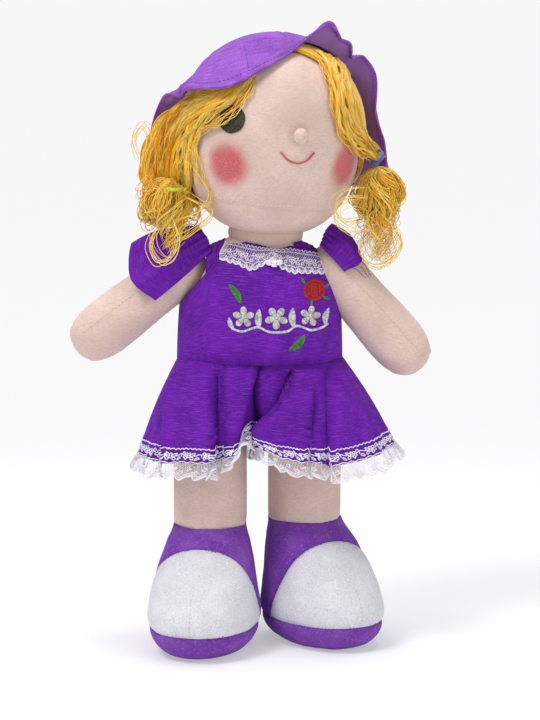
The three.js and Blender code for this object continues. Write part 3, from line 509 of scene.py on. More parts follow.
MATERIALS = {
    "skin": skin("skin_jersey"),
    "face": skin("face_jersey", blushing=True),
    "romper": woven("purple_cotton", (106, 16, 166), (76, 6, 132), (146, 70, 206), 0.8, 0.12),
    "hat": woven("hat_cotton", (142, 76, 186), (106, 42, 152), (188, 138, 216), 0.9, 0.4, (146, 104, 168)),
    "plush": napped("purple_plush", (128, 68, 176), (94, 42, 142), (166, 116, 206), 0.8, 0.5, 0.6),
    "panel": napped("white_panel", (228, 227, 232), (196, 195, 204), (246, 246, 248), 0.7, 0.35, 0.3),
    "felt": napped("eye_felt", (66, 64, 58), (46, 44, 40), (104, 100, 92), 0.6, 0.3, 0.3),
    "lace": thread("lace", (222, 214, 232), (250, 248, 252)),
    "seam": thread("seam_thread", (60, 14, 108), (84, 30, 140)),
    "skin_seam": thread("skin_thread", (196, 162, 140), (222, 192, 168)),
    "pale_seam": thread("pale_thread", (216, 192, 176), (240, 222, 208)),
    "panel_seam": thread("panel_thread", (176, 174, 184), (204, 202, 210)),
    "fuzz": thread("purple_fuzz", (104, 50, 152), (150, 98, 196), roughness=0.9),
    "mouth": thread("mouth_thread", (180, 48, 52), (212, 84, 80)),
    "silver": thread("silver_thread", (132, 132, 130), (244, 244, 238), roughness=0.3),
    "rose": thread("rose_thread", (122, 2, 12), (208, 22, 32), roughness=0.4, sheen=0.05),
    "leaf": thread("leaf_thread", (22, 88, 28), (92, 172, 58), roughness=0.4, sheen=0.05),
    "hair": hair_fibre("hair_fibre"),
    # Deep orange painted shade for the shell under the cap's strands, where shade falls among the roots
    "hair_root_shade": thread("hair_root_shade", (150, 86, 8), (196, 124, 16), roughness=0.7),
    "blue": thread("blue_elastic", (38, 66, 168), (78, 108, 214), roughness=0.55),
    "yellow": thread("yellow_elastic", (168, 178, 20), (214, 218, 60), roughness=0.55),
}


def dress(obj, material, body, nodes=()):
    """Gives a piece its material, its body and the solids it stands for."""
    if not obj.data.materials:
        obj.data.materials.append(MATERIALS[material])
    if body:
        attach(obj, body)
    if nodes:
        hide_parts(*nodes)
    return obj


# ---------------------------------------------------------------- stuffed pieces


# A skin is remade from cells of this size. It starts a little small, swells under pressure for some frames
# of simulated cloth, and no point of it ends further than the cap from where it began
SKIN_VOXEL = 4.0
STUFFING_SHRINK, STUFFING_CAP = 0.8, 0.9
STUFFING_PRESSURE, STUFFING_FRAMES = 4.0, 20
# How far a leg's lower end sinks into its shoe, and up to what height
LEG_SINK, LEG_SINK_REACH = 6, 24
# How far the torso's top stands up between the shoulders, from what height, and how wide
TOP_RISE, TOP_RISE_HEIGHTS, TOP_RISE_REACH = 5.5, (284, 291), 26


def copy_node(name, node):
    """A piece with the form of one of the frame's solids."""
    mesh = frame["nodes"][node].data.copy()
    mesh.materials.clear()
    return new_object(name, mesh)


def remesh(obj, voxel):
    modifier = obj.modifiers.new("remesh", "REMESH")
    modifier.mode = "VOXEL"
    modifier.voxel_size = voxel * MM
    apply_modifiers(obj)


def relax(obj, rounds):
    modifier = obj.modifiers.new("relax", "SMOOTH")
    modifier.factor, modifier.iterations = 0.5, rounds
    apply_modifiers(obj)


def coordinates(obj):
    points = np.empty(len(obj.data.vertices) * 3, np.float32)
    obj.data.vertices.foreach_get("co", points)
    return points.reshape(-1, 3).astype(float)


def set_coordinates(obj, points):
    obj.data.vertices.foreach_set("co", np.asarray(points, np.float32).ravel())
    obj.data.update()


def vertex_normals(obj):
    values = np.empty(len(obj.data.vertices) * 3, np.float32)
    obj.data.vertex_normals.foreach_get("vector", values)
    return values.reshape(-1, 3).astype(float)


def stuff(obj, voxel):
    """Fills a skin: it starts slightly small, swells as cloth under pressure, and stays within its cap."""
    remesh(obj, voxel)
    relax(obj, 3)
    rest = coordinates(obj)
    set_coordinates(obj, rest - vertex_normals(obj) * STUFFING_SHRINK * MM)
    simulation = obj.modifiers.new("stuffing", "CLOTH")
    settings = simulation.settings
    settings.quality = 5
    settings.mass = 0.15
    settings.tension_stiffness = settings.compression_stiffness = 12
    settings.shear_stiffness = 6
    settings.bending_stiffness = 0.4
    settings.use_pressure = True
    settings.uniform_pressure_force = STUFFING_PRESSURE
    settings.effector_weights.gravity = 0
    simulation.collision_settings.use_collision = False
    scene = bpy.context.scene
    simulation.point_cache.frame_start, simulation.point_cache.frame_end = 1, STUFFING_FRAMES
    for number in range(1, STUFFING_FRAMES + 1):
        scene.frame_set(number)
    apply_modifiers(obj)
    scene.frame_set(1)
    moved = coordinates(obj) - rest
    far = np.linalg.norm(moved, axis=1, keepdims=True)
    set_coordinates(obj, rest + moved * np.minimum(1, STUFFING_CAP * MM / np.maximum(far, 1e-9)))
    relax(obj, 2)
    divided = obj.modifiers.new("divide", "SUBSURF")
    divided.levels = divided.render_levels = 1
    apply_modifiers(obj)
    obj.data.polygons.foreach_set("use_smooth", np.ones(len(obj.data.polygons), bool))


def stuffed_piece(node, voxel=SKIN_VOXEL):
    """The stuffed skin of a limb or trunk, whose node and body have one name."""
    obj = copy_node(f"{node}_stuffed", node)
    stuff(obj, voxel)
    dress(obj, "skin", node, [node])
    return obj


def torso_piece():
    """The torso, its top standing up between the shoulders, under the chin."""
    obj = stuffed_piece("torso", voxel=4.5)
    points = coordinates(obj)
    x, _, z = (points / MM - np.array(SHIFT)).T
    rise = TOP_RISE * smoothstep(z, *TOP_RISE_HEIGHTS) * np.exp(-(((x - 1) / TOP_RISE_REACH) ** 8))
    points[:, 2] += rise * MM
    set_coordinates(obj, points)


def neck_piece():
    """The neck, thicker towards the torso, and wider from side to side above the bodice's edge."""
    obj = stuffed_piece("neck", voxel=2.5)
    points = coordinates(obj)
    pivot = np.array(NECK_PIVOT + SHIFT) * MM
    height = (points[:, 2] - pivot[2]) / MM
    thicker = 1.18 + 0.42 * (1 - smoothstep(height, -19, 2))
    points[:, :2] = pivot[:2] + (points[:, :2] - pivot[:2]) * thicker[:, None]
    wider = 1 + 0.42 * smoothstep(height, -15, -9)
    points[:, 0] = pivot[0] + (points[:, 0] - pivot[0]) * wider
    set_coordinates(obj, points)


def leg_piece(side):
    obj = stuffed_piece(f"leg_{side}")
    points = coordinates(obj)
    above = (points[:, 2] - points[:, 2].min()) / MM
    points[:, 2] -= LEG_SINK * MM * (1 - smoothstep(above, 0, LEG_SINK_REACH))
    set_coordinates(obj, points)


torso_piece()
neck_piece()
for side in SIDES:
    stuffed_piece(f"arm_{side}")
    leg_piece(side)


# ---------------------------------------------------------------- shoes

LEG_REACH = 34.3
FOOT = {"width": 80, "length": 106, "reach": 24, "height": 88}
FOOT_TURNS = {"right": math.radians(-10), "left": math.radians(32)}
LEG_STRIDES = {"right": -12, "left": 12}
SOLE_HEIGHT = 19
PANEL_TOP = Vector((0, -38, 76))
PANEL_SLOPE = math.radians(25)
PANEL_WAY = np.array([0, -math.cos(PANEL_SLOPE), -math.sin(PANEL_SLOPE)])
FOOT_POWER = 2.15
SHOE_SKIN = 1.4
# Shares up the foot, of its width, of its length and of how far it reaches ahead
FOOT_SHARES = [
    (0.0, 0.58, 0.68, 1.0),
    (0.03, 0.72, 0.81, 1.0),
    (0.09, 0.86, 0.92, 1.0),
    (0.2, 0.97, 0.99, 1.0),
    (0.32, 1.0, 1.0, 1.0),
    (0.45, 0.97, 0.96, 0.93),
    (0.59, 0.91, 0.87, 0.78),
    (0.73, 0.84, 0.75, 0.52),
    (0.84, 0.775, 0.64, 0.3),
    (0.93, 0.715, 0.56, 0.11),
    (1.0, 0.691, 0.528, 0.0),
]


def foot_mesh():
    """The whole foot in its own frame, in millimetres, closed at both ends."""
    shares = np.concatenate([[0], np.linspace(0.004, 0.09, 8), np.linspace(0.11, 1, 44)])
    across, along, ahead = (column[:, None] for column in read_shares(FOOT_SHARES, shares))
    angles = ring_angles(96)
    x = FOOT["width"] / 2 * across * rounded(np.cos(angles), FOOT_POWER)
    y = FOOT["length"] / 2 * along * rounded(np.sin(angles), FOOT_POWER) - FOOT["reach"] * ahead
    rings = stacked(x, y, FOOT["height"] * shares[:, None])
    inner = [rings[0] * [part, part, 1] + [0, -FOOT["reach"] * (1 - part), 0] for part in (0.25, 0.5, 0.75)]
    top = [rings[-1] * [part, part, 1] for part in (0.75, 0.5, 0.25)]
    rings = np.concatenate([inner, rings, top])
    return rings.reshape(-1, 3), closed_faces(len(rings), len(angles))


def foot_place(side):
    hip = Vector((TOWARDS[side] * LEG_REACH, LEG_STRIDES[side], 0)) + SHIFT
    return Matrix.Translation(hip) @ Matrix.Rotation(FOOT_TURNS[side], 4, "Z")


def panel_distance(points):
    """How far points lie in front of the toe panel's slanted edge."""
    return (points - np.array(PANEL_TOP)) @ PANEL_WAY


def shaped_foot():
    """The foot as one closed form, cut along its seams, drawn in at them and a little lumpy."""
    points, faces = foot_mesh()
    mesh = bpy.data.meshes.new("foot")
    mesh.from_pydata(points.tolist(), [], faces)
    mesh.update()
    whole = bmesh.new()
    whole.from_mesh(mesh)
    for centre, way in ((Vector((0, 0, SOLE_HEIGHT)), Vector((0, 0, 1))), (PANEL_TOP, Vector(PANEL_WAY))):
        everything = [*whole.verts, *whole.edges, *whole.faces]
        bmesh.ops.bisect_plane(whole, geom=everything, plane_co=centre, plane_no=way, dist=0.0005)
    whole.normal_update()
    places = np.array([v.co for v in whole.verts])
    out = np.array([v.normal for v in whole.verts])
    above = places[:, 2] - SOLE_HEIGHT
    to_panel = np.where(above > 0, np.abs(panel_distance(places)), 99)
    nearest = np.minimum(to_panel, np.abs(above))
    pull = 1.5 * np.exp(-((nearest / 1.5) ** 2)) - 0.5 * np.exp(-(((nearest - 7) / 6) ** 2))
    lumps = 0.35 * noise(places, 38, seed=3) + 0.15 * noise(places, 13, seed=4)
    for vertex, normal, depth, lump in zip(whole.verts, out, pull, lumps):
        vertex.co += Vector(normal) * (lump - depth - 0.3)
        to_top = float(smoothstep(np.array(vertex.co.z), FOOT["height"] - 12, FOOT["height"]))
        inwards = 1 - 0.045 * to_top
        vertex.co.x, vertex.co.y = vertex.co.x * inwards, vertex.co.y * inwards
    return whole


def foot_region(face):
    """Which of the shoe's pieces a face of the foot belongs to."""
    middle = np.array(face.calc_center_median())
    if middle[2] < SOLE_HEIGHT:
        return "shoe_sole"
    return "toe_panel" if panel_distance(middle) > 0 else "shoe_upper"


def shoe(side):
    whole = shaped_foot()
    regions = [foot_region(face) for face in whole.faces]
    for region, material, slot in (
        ("shoe_sole", "plush", "purple_plush"),
        ("toe_panel", "panel", "white_panel"),
        ("shoe_upper", "plush", "purple_plush"),
    ):
        node = f"{region}_{side}"
        part = whole.copy()
        part.faces.ensure_lookup_table()
        others = [face for face, own in zip(part.faces, regions) if own != region]
        bmesh.ops.delete(part, geom=others, context="FACES")
        piece = bpy.data.meshes.new(node)
        part.to_mesh(piece)
        part.free()
        piece.transform(Matrix.Diagonal((MM, MM, MM, 1)) @ foot_place(side))
        piece.polygons.foreach_set("use_smooth", np.ones(len(piece.polygons), bool))
        obj = new_object(node + "_padded", piece)
        depth = obj.modifiers.new("skin", "SOLIDIFY")
        depth.thickness, depth.offset = SHOE_SKIN * MM, -1
        apply_modifiers(obj)
        dress(obj, material, f"leg_{side}", [node])
    whole.free()


for side in SIDES:
    shoe(side)


# ---------------------------------------------------------------- torso's own form

TORSO = {"centre": 2, "width": 116, "depth": 76, "bottom": 183.35, "top": 292, "waist": 207}
TORSO_HEIGHT = TORSO["top"] - TORSO["bottom"]
HALF_WIDTH, HALF_DEPTH = TORSO["width"] / 2, TORSO["depth"] / 2
TORSO_POWER = 2.2
# Shares up the torso, of its width and of its depth
TORSO_SHARES = [
    (0.0, 0.92, 0.02),
    (0.04, 0.96, 0.1),
    (0.09, 0.99, 0.25),
    (0.14, 1.0, 0.43),
    (0.19, 1.0, 0.63),
    (0.25, 1.0, 0.85),
    (0.33, 1.0, 1.0),
    (0.5, 0.985, 1.0),
    (0.65, 0.96, 0.95),
    (0.78, 0.9, 0.86),
    (0.88, 0.8, 0.73),
    (0.95, 0.66, 0.57),
    (1.0, 0.45, 0.4),
]


def torso_point(z, turn):
    across, deep = read_shares(TORSO_SHARES, (z - TORSO["bottom"]) / TORSO_HEIGHT)
    angle = 2 * np.pi * turn
    x = TORSO["centre"] + HALF_WIDTH * across * rounded(np.cos(angle), TORSO_POWER)
    y = HALF_DEPTH * deep * rounded(np.sin(angle), TORSO_POWER)
    return stacked(x, y, z)


def on_chest(x, z, lift, back=1):
    """Points over the torso's front, or over its back where back is -1, at places seen from the front."""
    across, deep = read_shares(TORSO_SHARES, (z - TORSO["bottom"]) / TORSO_HEIGHT)
    reach = np.clip(np.abs((x - TORSO["centre"]) / (HALF_WIDTH * across)), 0, 0.995)
    y = -back * HALF_DEPTH * deep * (1 - reach**TORSO_POWER) ** (1 / TORSO_POWER)
    way = np.stack([(x - TORSO["centre"]) / HALF_WIDTH**2, y / HALF_DEPTH**2, np.zeros_like(y)], -1)
    return stacked(x, y, z) + unit(way) * np.asarray(lift)[..., None]


# ---------------------------------------------------------------- bodice

# The bodice's upper edge: places across the torso and heights above the waist, both as shares
FRONT_EDGE = [
    *((-1.4, 0.42), (-1.0, 0.44), (-0.9, 0.55), (-0.68, 0.73), (-0.5, 0.88), (-0.42, 1.02)),
    *((-0.3, 1.04), (-0.04, 0.985), (0.2, 0.94), (0.36, 0.965)),
    *((0.62, 0.93), (0.8, 0.9), (0.93, 0.66), (0.99, 0.47), (1.04, 0.3), (1.4, 0.29)),
]
BACK_EDGE = [*FRONT_EDGE[:6], (-0.3, 1.0), (0.0, 0.9), (0.3, 0.88), *FRONT_EDGE[10:]]
BODICE_LIFT = 0.6
CLOTH_THICKNESS = 1.2
TORSO_RISE = TORSO["top"] - TORSO["waist"]


def edge_heights(edge, turns):
    """The height at which each line up the torso meets the bodice's upper edge."""
    rows = np.array(edge)
    heights = np.full(len(turns), TORSO["waist"] + 30.0)
    for _ in range(60):
        x = (torso_point(heights, turns)[:, 0] - TORSO["centre"]) / HALF_WIDTH
        goal = TORSO["waist"] + TORSO_RISE * np.interp(x, rows[:, 0], rows[:, 1])
        heights = lerp(heights, np.minimum(goal, TORSO["top"] - 0.3), 0.35)
    return np.convolve(np.pad(heights, 1, mode="edge"), [0.25, 0.5, 0.25], "valid")


def away_from_middle(points):
    return unit((points - [TORSO["centre"], 0, 0]) * [1, 1, 0])


# Slanted creases of the bodice's front: from (x, z) down to (x, z), how high they stand and how wide they are
BODICE_FOLDS = [
    (21, 234, 7, 206, 2.9, 12),
    (33, 232, 22, 206, 2.3, 9),
    (-8, 226, -1, 206, 1.7, 9),
    (46, 236, 37, 206, 1.9, 9),
    (-26, 220, -19, 206, 1.2, 8),
]


def crease_depth(x, z, fold):
    top_x, top_z, low_x, low_z, depth, width = fold
    away = x - np.interp(z, [low_z, top_z], [low_x, top_x])
    ends = smoothstep(z, low_z - 12, low_z + 4), 1 - smoothstep(z, top_z - 8, top_z + 6)
    return depth * np.exp(-((away / (width / 2.4)) ** 2)) * ends[0] * ends[1]


def creases(points):
    """How far the bodice's cloth stands off its even shape."""
    x, y, z = points[..., 0], points[..., 1], points[..., 2]
    soft = 0.5 * noise(points * [1, 1, 0.6], 46, seed=5)
    gathers = 0.5 * np.sin(x * 1.1 + np.sin(x * 0.31)) * np.exp(-(((z - TORSO["waist"]) / 7) ** 2))
    slanted = sum(crease_depth(x, z, fold) for fold in BODICE_FOLDS)
    return soft + gathers + slanted * (y < 0) * 1.2


def chest_normals(x, z):
    step, none = 0.4, np.zeros(np.broadcast(x, z).shape)
    aside = on_chest(x + step, z, none) - on_chest(x - step, z, none)
    upwards = on_chest(x, z + step, none) - on_chest(x, z - step, none)
    return unit(np.cross(aside, upwards))


def on_bodice(x, z, lift):
    """Places on the front of the bodice's cloth, seen from the front."""
    flat = on_chest(x, z, np.zeros(np.broadcast(x, z).shape))
    folded = flat + away_from_middle(flat) * creases(flat)[..., None]
    return folded + chest_normals(x, z) * np.asarray(BODICE_LIFT + CLOTH_THICKNESS + lift)[..., None]


def bodice(name, edge, start, node):
    turns = np.linspace(start + 0.0006, start + 0.4994, 140)
    tops = edge_heights(edge, turns)

    def surface(u, v):
        turn = lerp(turns[0], turns[-1], np.clip(v, 0, 1))
        top = np.interp(turn, turns, tops)
        z = lerp(TORSO["waist"] - 0.5, top, u)
        points = torso_point(z, turn)
        return points + away_from_middle(points) * creases(points)[..., None]

    obj = cloth(name, surface, np.linspace(0, 1, 48), np.linspace(0, 1, 140), BODICE_LIFT, CLOTH_THICKNESS)
    dress(obj, "romper", "torso", [node])


bodice("bodice_front_cloth", FRONT_EDGE, 0.5, "bodice_front")
bodice("bodice_back_cloth", BACK_EDGE, 0.0, "bodice_back")


# ---------------------------------------------------------------- romper legs

# The hem of each leg: how far below the waist it hangs, how much it rises aside, how far out it reaches,
# and how high its curled place stands
HEM = {
    "drop": {"right": 69, "left": 70},
    "side_rise": {"right": 0, "left": 8},
    "reach": {"right": 81, "left": 94},
    "curl": {"right": 20, "left": 4},
}
HEM_DEPTH = 94
HEM_INNER = 6.3
HEM_POWER = 3.6
PLEAT_DEPTH = 3.6
PLEAT_COUNT = 7
CURL_ANGLE, CURL_SPREAD = math.radians(149), math.radians(29)
HANG_GAP = 0.9
SEAM_GAP = 0.35
HEM_INNER_POWER = 4.4
ROMPER_PUFF = 3
# The legs are sewn together behind, down to this share of their height
BACK_SEAM_END = 0.3
BACK_SEAM_OVERLAP = 0.7
# In front the legs close over each other by this much, and one laps before the other
CLOSING = {"right": 3.5, "left": 8.0}
LAPPING = {"right": 0.8, "left": -2.4}

# Pressed folds of the romper's front: their lines from (x, z) to (x, z), how deep they are, which side
# of the line stands out, and how far it does
FOLDS = {
    "right": [
        (-60, 203, -70, 100, 4.4, 1, 13),
        (-31.8, 206, -31.0, 100, 7.4, -1, 20),
        (-1.5, 204, -16, 160, 6.4, -1, 9),
        (-22, 206, -21.5, 96, 3.4, 1, 8),
    ],
    "left": [
        (27, 203, 3, 150, 7.8, 1, 15),
        (52, 206, 53.5, 100, 6.6, 1, 16),
        (39, 190, 31, 96, 3.6, -1, 8),
    ],
}


def fold_depth(x, z, fold):
    """How far a pressed fold stands out: raised on one side of its line and sunk just behind it."""
    top_x, top_z, low_x, low_z, depth, side, reach = fold
    part = (top_z - z) / (top_z - low_z)
    away = (x - lerp(top_x, low_x, part)) * side
    step = 0.5 + 0.5 * np.tanh(away / 0.55)
    raised = step * np.exp(-((np.maximum(away, 0) / reach) ** 2))
    sunk = (1 - step) * np.exp(-((away / 7) ** 2))
    return depth * (raised - 0.6 * sunk) * smoothstep(part, -0.03, 0.1) * (1 - smoothstep(part, 0.75, 1.3))


def romper_point(side, u, v):
    sign = TOWARDS[side]
    angle = 2 * np.pi * v
    forward, outward = -np.sin(angle), np.cos(angle)
    waist_side = torso_point(np.array(float(TORSO["waist"])), np.array(0.0))[0] - TORSO["centre"]
    waist_depth = torso_point(np.array(float(TORSO["waist"])), np.array(0.25))[1]
    centre_seam = TORSO["centre"] + sign * (HANG_GAP + CLOTH_THICKNESS + SEAM_GAP / 2)
    waist_reach = waist_side - abs(centre_seam - TORSO["centre"])
    waist_x = centre_seam + sign * waist_reach * rounded(np.maximum(outward, 0), TORSO_POWER)
    waist_y = waist_depth * rounded(forward, TORSO_POWER)
    middle = (HEM_INNER + HEM["reach"][side]) / 2
    half = (HEM["reach"][side] - HEM_INNER) / 2
    power = np.where(outward < 0, HEM_INNER_POWER, HEM_POWER)
    loose = 1 - np.clip(-outward, 0, 1)
    front = smoothstep(-forward, 0.1, 0.55)
    pleat = PLEAT_DEPTH * loose * u * np.cos(PLEAT_COUNT * angle) * (1 - 0.75 * front)
    gathers = 0.8 * np.sin(23 * angle + 1.3) * np.exp(-((u - 0.1) ** 2) / 0.01)
    fine = loose * (gathers + 0.6 * u * np.sin(17 * angle))
    hem_x = sign * (middle + (half + pleat + fine) * rounded(outward, power))
    hem_y = (HEM_DEPTH / 2 + pleat + fine) * rounded(forward, power)
    curl = np.exp(-(((angle % (2 * np.pi)) - CURL_ANGLE) ** 2) / CURL_SPREAD**2)
    hem_z = TORSO["waist"] - HEM["drop"][side] + HEM["side_rise"][side] * np.abs(outward)
    hem_z = hem_z + HEM["curl"][side] * curl
    puff = ROMPER_PUFF * loose * np.sin(np.pi * np.clip(u, 0, 1))
    x = lerp(waist_x, hem_x, u) + sign * puff * outward
    y = lerp(waist_y, hem_y, u) + puff * forward
    z = lerp(float(TORSO["waist"]), hem_z, u)
    x, y, z = np.broadcast_arrays(x, y, z)
    folds = sum(fold_depth(x, z, fold) for fold in FOLDS[side]) * front
    lapped = smoothstep(u, 0, 0.16) * (1 - 0.34 * np.clip(u, 0, 1)) * smoothstep(-forward, -0.1, 0.3)
    lapped = lapped * smoothstep(-outward, 0.0, 0.8)
    roll = HEM["curl"][side] * 0.3 * curl * np.clip(u, 0, 1.4) ** 4
    joined = smoothstep(forward, 0.1, 0.6) * smoothstep(-outward, -0.05, 0.4)
    joined = joined * (1 - smoothstep(u, BACK_SEAM_END - 0.1, BACK_SEAM_END + 0.2))
    joined = joined * (BACK_SEAM_OVERLAP + (HEM_INNER - abs(centre_seam - TORSO["centre"])) * u)
    x = x + sign * (folds * outward - CLOSING[side] * lapped - joined)
    y = y + folds * forward - roll + LAPPING[side] * lapped
    return np.stack([x, y, z], -1)


def romper_leg(side):
    surface = lambda u, v: romper_point(side, u, v)
    us = np.concatenate([[0.004], np.linspace(0.02, 1, 40)])
    vs = np.linspace(0, 1, 401)[:-1]
    name = f"romper_leg_{side}"
    facing = TOWARDS[side]
    obj = cloth(name + "_cloth", surface, us, vs, HANG_GAP, CLOTH_THICKNESS, around=True, facing=facing)
    dress(obj, "romper", None, [name])
    return obj


def bend_with_leg(obj):
    """Bakes the cloth's place into its mesh; it is not made to follow the torso or the leg."""
    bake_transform(obj)


for side in SIDES:
    bend_with_leg(romper_leg(side))


# ---------------------------------------------------------------- lace


def flower(x, y, size, turn=0.0):
    """Five petals as one closed line, in the lace's own plane."""
    angle = np.linspace(0, 2 * np.pi, 26)
    radius = size * (0.45 + 0.55 * np.abs(np.cos(2.5 * angle)))
    return np.stack([x + radius * np.cos(angle + turn), y + radius * np.sin(angle + turn)], -1)


def turned_line(along, aside, turn, x, y):
    turned = np.array([[math.cos(turn), -math.sin(turn)], [math.sin(turn), math.cos(turn)]])
    return np.stack([along, aside], -1) @ turned.T + [x, y]


def scroll(x, y, length, bend, turn):
    part = np.linspace(0, 1, 26)
    return turned_line(length * (part - 0.5), bend * np.sin(np.pi * 2 * part), turn, x, y)


def leaf_loop(x, y, length, width, turn):
    angle = np.linspace(0, 2 * np.pi, 26)
    aside = width / 2 * np.sin(angle) * np.abs(np.sin(angle / 2)) ** 0.5
    return turned_line(length / 2 * np.cos(angle), aside, turn, x, y)


def lace_motifs(length, height):
    """The lines of one run of floral lace, its upper edge at 0 and its lower edge at height."""
    repeats = max(1, round(length / 14))
    pitch = length / repeats
    lines = []
    for left in np.arange(repeats) * pitch:
        lines += [
            flower(left + pitch * 0.3, height * 0.5, height * 0.27, 0.3),
            flower(left + pitch * 0.3, height * 0.5, height * 0.1, 0.0),
            leaf_loop(left + pitch * 0.56, height * 0.4, pitch * 0.24, height * 0.22, -0.6),
            leaf_loop(left + pitch * 0.62, height * 0.68, pitch * 0.22, height * 0.2, 0.5),
            scroll(left + pitch * 0.82, height * 0.42, pitch * 0.42, height * 0.16, 0.5),
            leaf_loop(left + pitch * 0.9, height * 0.7, pitch * 0.18, height * 0.18, 2.4),
            leaf_loop(left + pitch * 0.06, height * 0.32, pitch * 0.18, height * 0.18, 0.9),
        ]
    return lines


def edge_arcs(length, pitch, height, depth):
    """Scallops along a line: each bulges down by depth."""
    count = max(2, round(length / pitch))
    part = np.linspace(0, 1, 26)
    step = length / count
    y = height + depth * np.sin(np.pi * part)
    return [np.stack([(index + part) * step, y], -1) for index in range(count)]


# ---------------------------------------------------------------- hem lace

LACE_DROP = 11.5
LACE_OVERLAP = 10
SCALLOP_PITCH, SCALLOP_DEPTH = 10.5, 3.0
HEM_NET_SPACING = 1.9


def hem_net(total, step, bottom):
    """Slanting threads both ways, from the lace's band down to its scallops."""
    part = np.linspace(0, 1, 12)
    depth = LACE_DROP + 0.3
    net = []
    for slant in (-1, 1):
        for start in np.arange(0, total, HEM_NET_SPACING):
            x = start + slant * part * depth * 0.6
            scallop = SCALLOP_DEPTH * np.abs(np.sin(np.pi * x / step))
            y = LACE_OVERLAP - 0.4 + part * depth
            net.append(np.stack([x, np.minimum(y, bottom - SCALLOP_DEPTH + scallop)], -1))
    return net


def hem_lace(side):
    """A band of floral lace on the hem, and a ruffle of net with scallops that hangs from it."""
    vs = np.linspace(0, 1, 721)
    ring = romper_point(side, np.ones(721), vs)
    lengths = line_lengths(ring)
    total = lengths[-1]
    facing = TOWARDS[side]
    surface = lambda u, v: romper_point(side, u, v)

    def laid(lines, lift):
        """Lines of (along, down from the lace's upper edge) laid over the hem."""
        lines = np.asarray(lines, float)
        v = np.interp(lines[..., 0] % total, lengths, vs)
        below = lines[..., 1] - LACE_OVERLAP
        u = 1 + below / HEM["drop"][side]
        wave = np.sin(2 * np.pi * lines[..., 0] / 11 + 2 * np.sin(lines[..., 0] / 17))
        ruffle = np.clip(below / LACE_DROP, 0, 1.3) * 1.7 * wave
        base = surface(u, v)
        return base + normals_of(surface, u, v, facing) * (lift + ruffle)[..., None]

    over = HANG_GAP + CLOTH_THICKNESS + 0.35
    pieces = []
    band = lace_motifs(total, LACE_OVERLAP - 0.6)
    pieces.append(threads("band", laid(band, over), 0.36, 0.5, 1))
    edges = edge_arcs(total, 3.1, 0.2, -0.9) + edge_arcs(total, 7, LACE_OVERLAP - 0.4, -0.8)
    pieces.append(threads("edges", laid(edges, over), 0.34, 0.4, 1))
    scallop_count = round(total / SCALLOP_PITCH)
    step = total / scallop_count
    bottom = LACE_OVERLAP + LACE_DROP
    for inset, radius in ((0.0, 0.52), (1.3, 0.3), (2.4, 0.3)):
        arcs = edge_arcs(total, SCALLOP_PITCH, bottom - SCALLOP_DEPTH - inset, SCALLOP_DEPTH)
        pieces.append(threads("scallops", laid(arcs, over), radius, 0.5, 1))
    net = hem_net(total, step, bottom)
    pieces.append(threads("net", laid(net, over), 0.17, 0.2, 0.8, sides=3))
    dots = []
    for index in range(scallop_count * 2):
        x = (index + 0.5) * step / 2
        dots.append(flower(x, LACE_OVERLAP + (4.4 if index % 2 else 6.6), 1.5, index))
    pieces.append(threads("sprigs", laid(dots, over), 0.33, 0.5, 1))
    obj = join(f"hem_lace_{side}_cloth", pieces)
    dress(obj, "lace", None, [f"hem_lace_{side}"])
    bend_with_leg(obj)


for side in SIDES:
    hem_lace(side)


# ---------------------------------------------------------------- neckline lace

# The lace's upper and lower edge: places across the torso and heights above the waist, both as shares
NECK_LACE_TOP = [
    *((-0.49, 0.9), (-0.42, 0.99), (-0.3, 0.985), (-0.04, 0.955), (0.11, 0.945)),
    *((0.2, 0.935), (0.36, 0.94), (0.62, 0.905), (0.84, 0.865), (0.98, 0.74)),
]
NECK_LACE_BOTTOM = [
    *((-0.49, 0.86), (-0.3, 0.83), (-0.09, 0.775), (0.06, 0.83), (0.17, 0.87)),
    *((0.26, 0.79), (0.4, 0.755), (0.6, 0.75), (0.8, 0.735), (0.93, 0.67)),
]
NECK_LACE_ENDS, NECK_LACE_HEIGHT = (-0.485, 0.93), 15.0


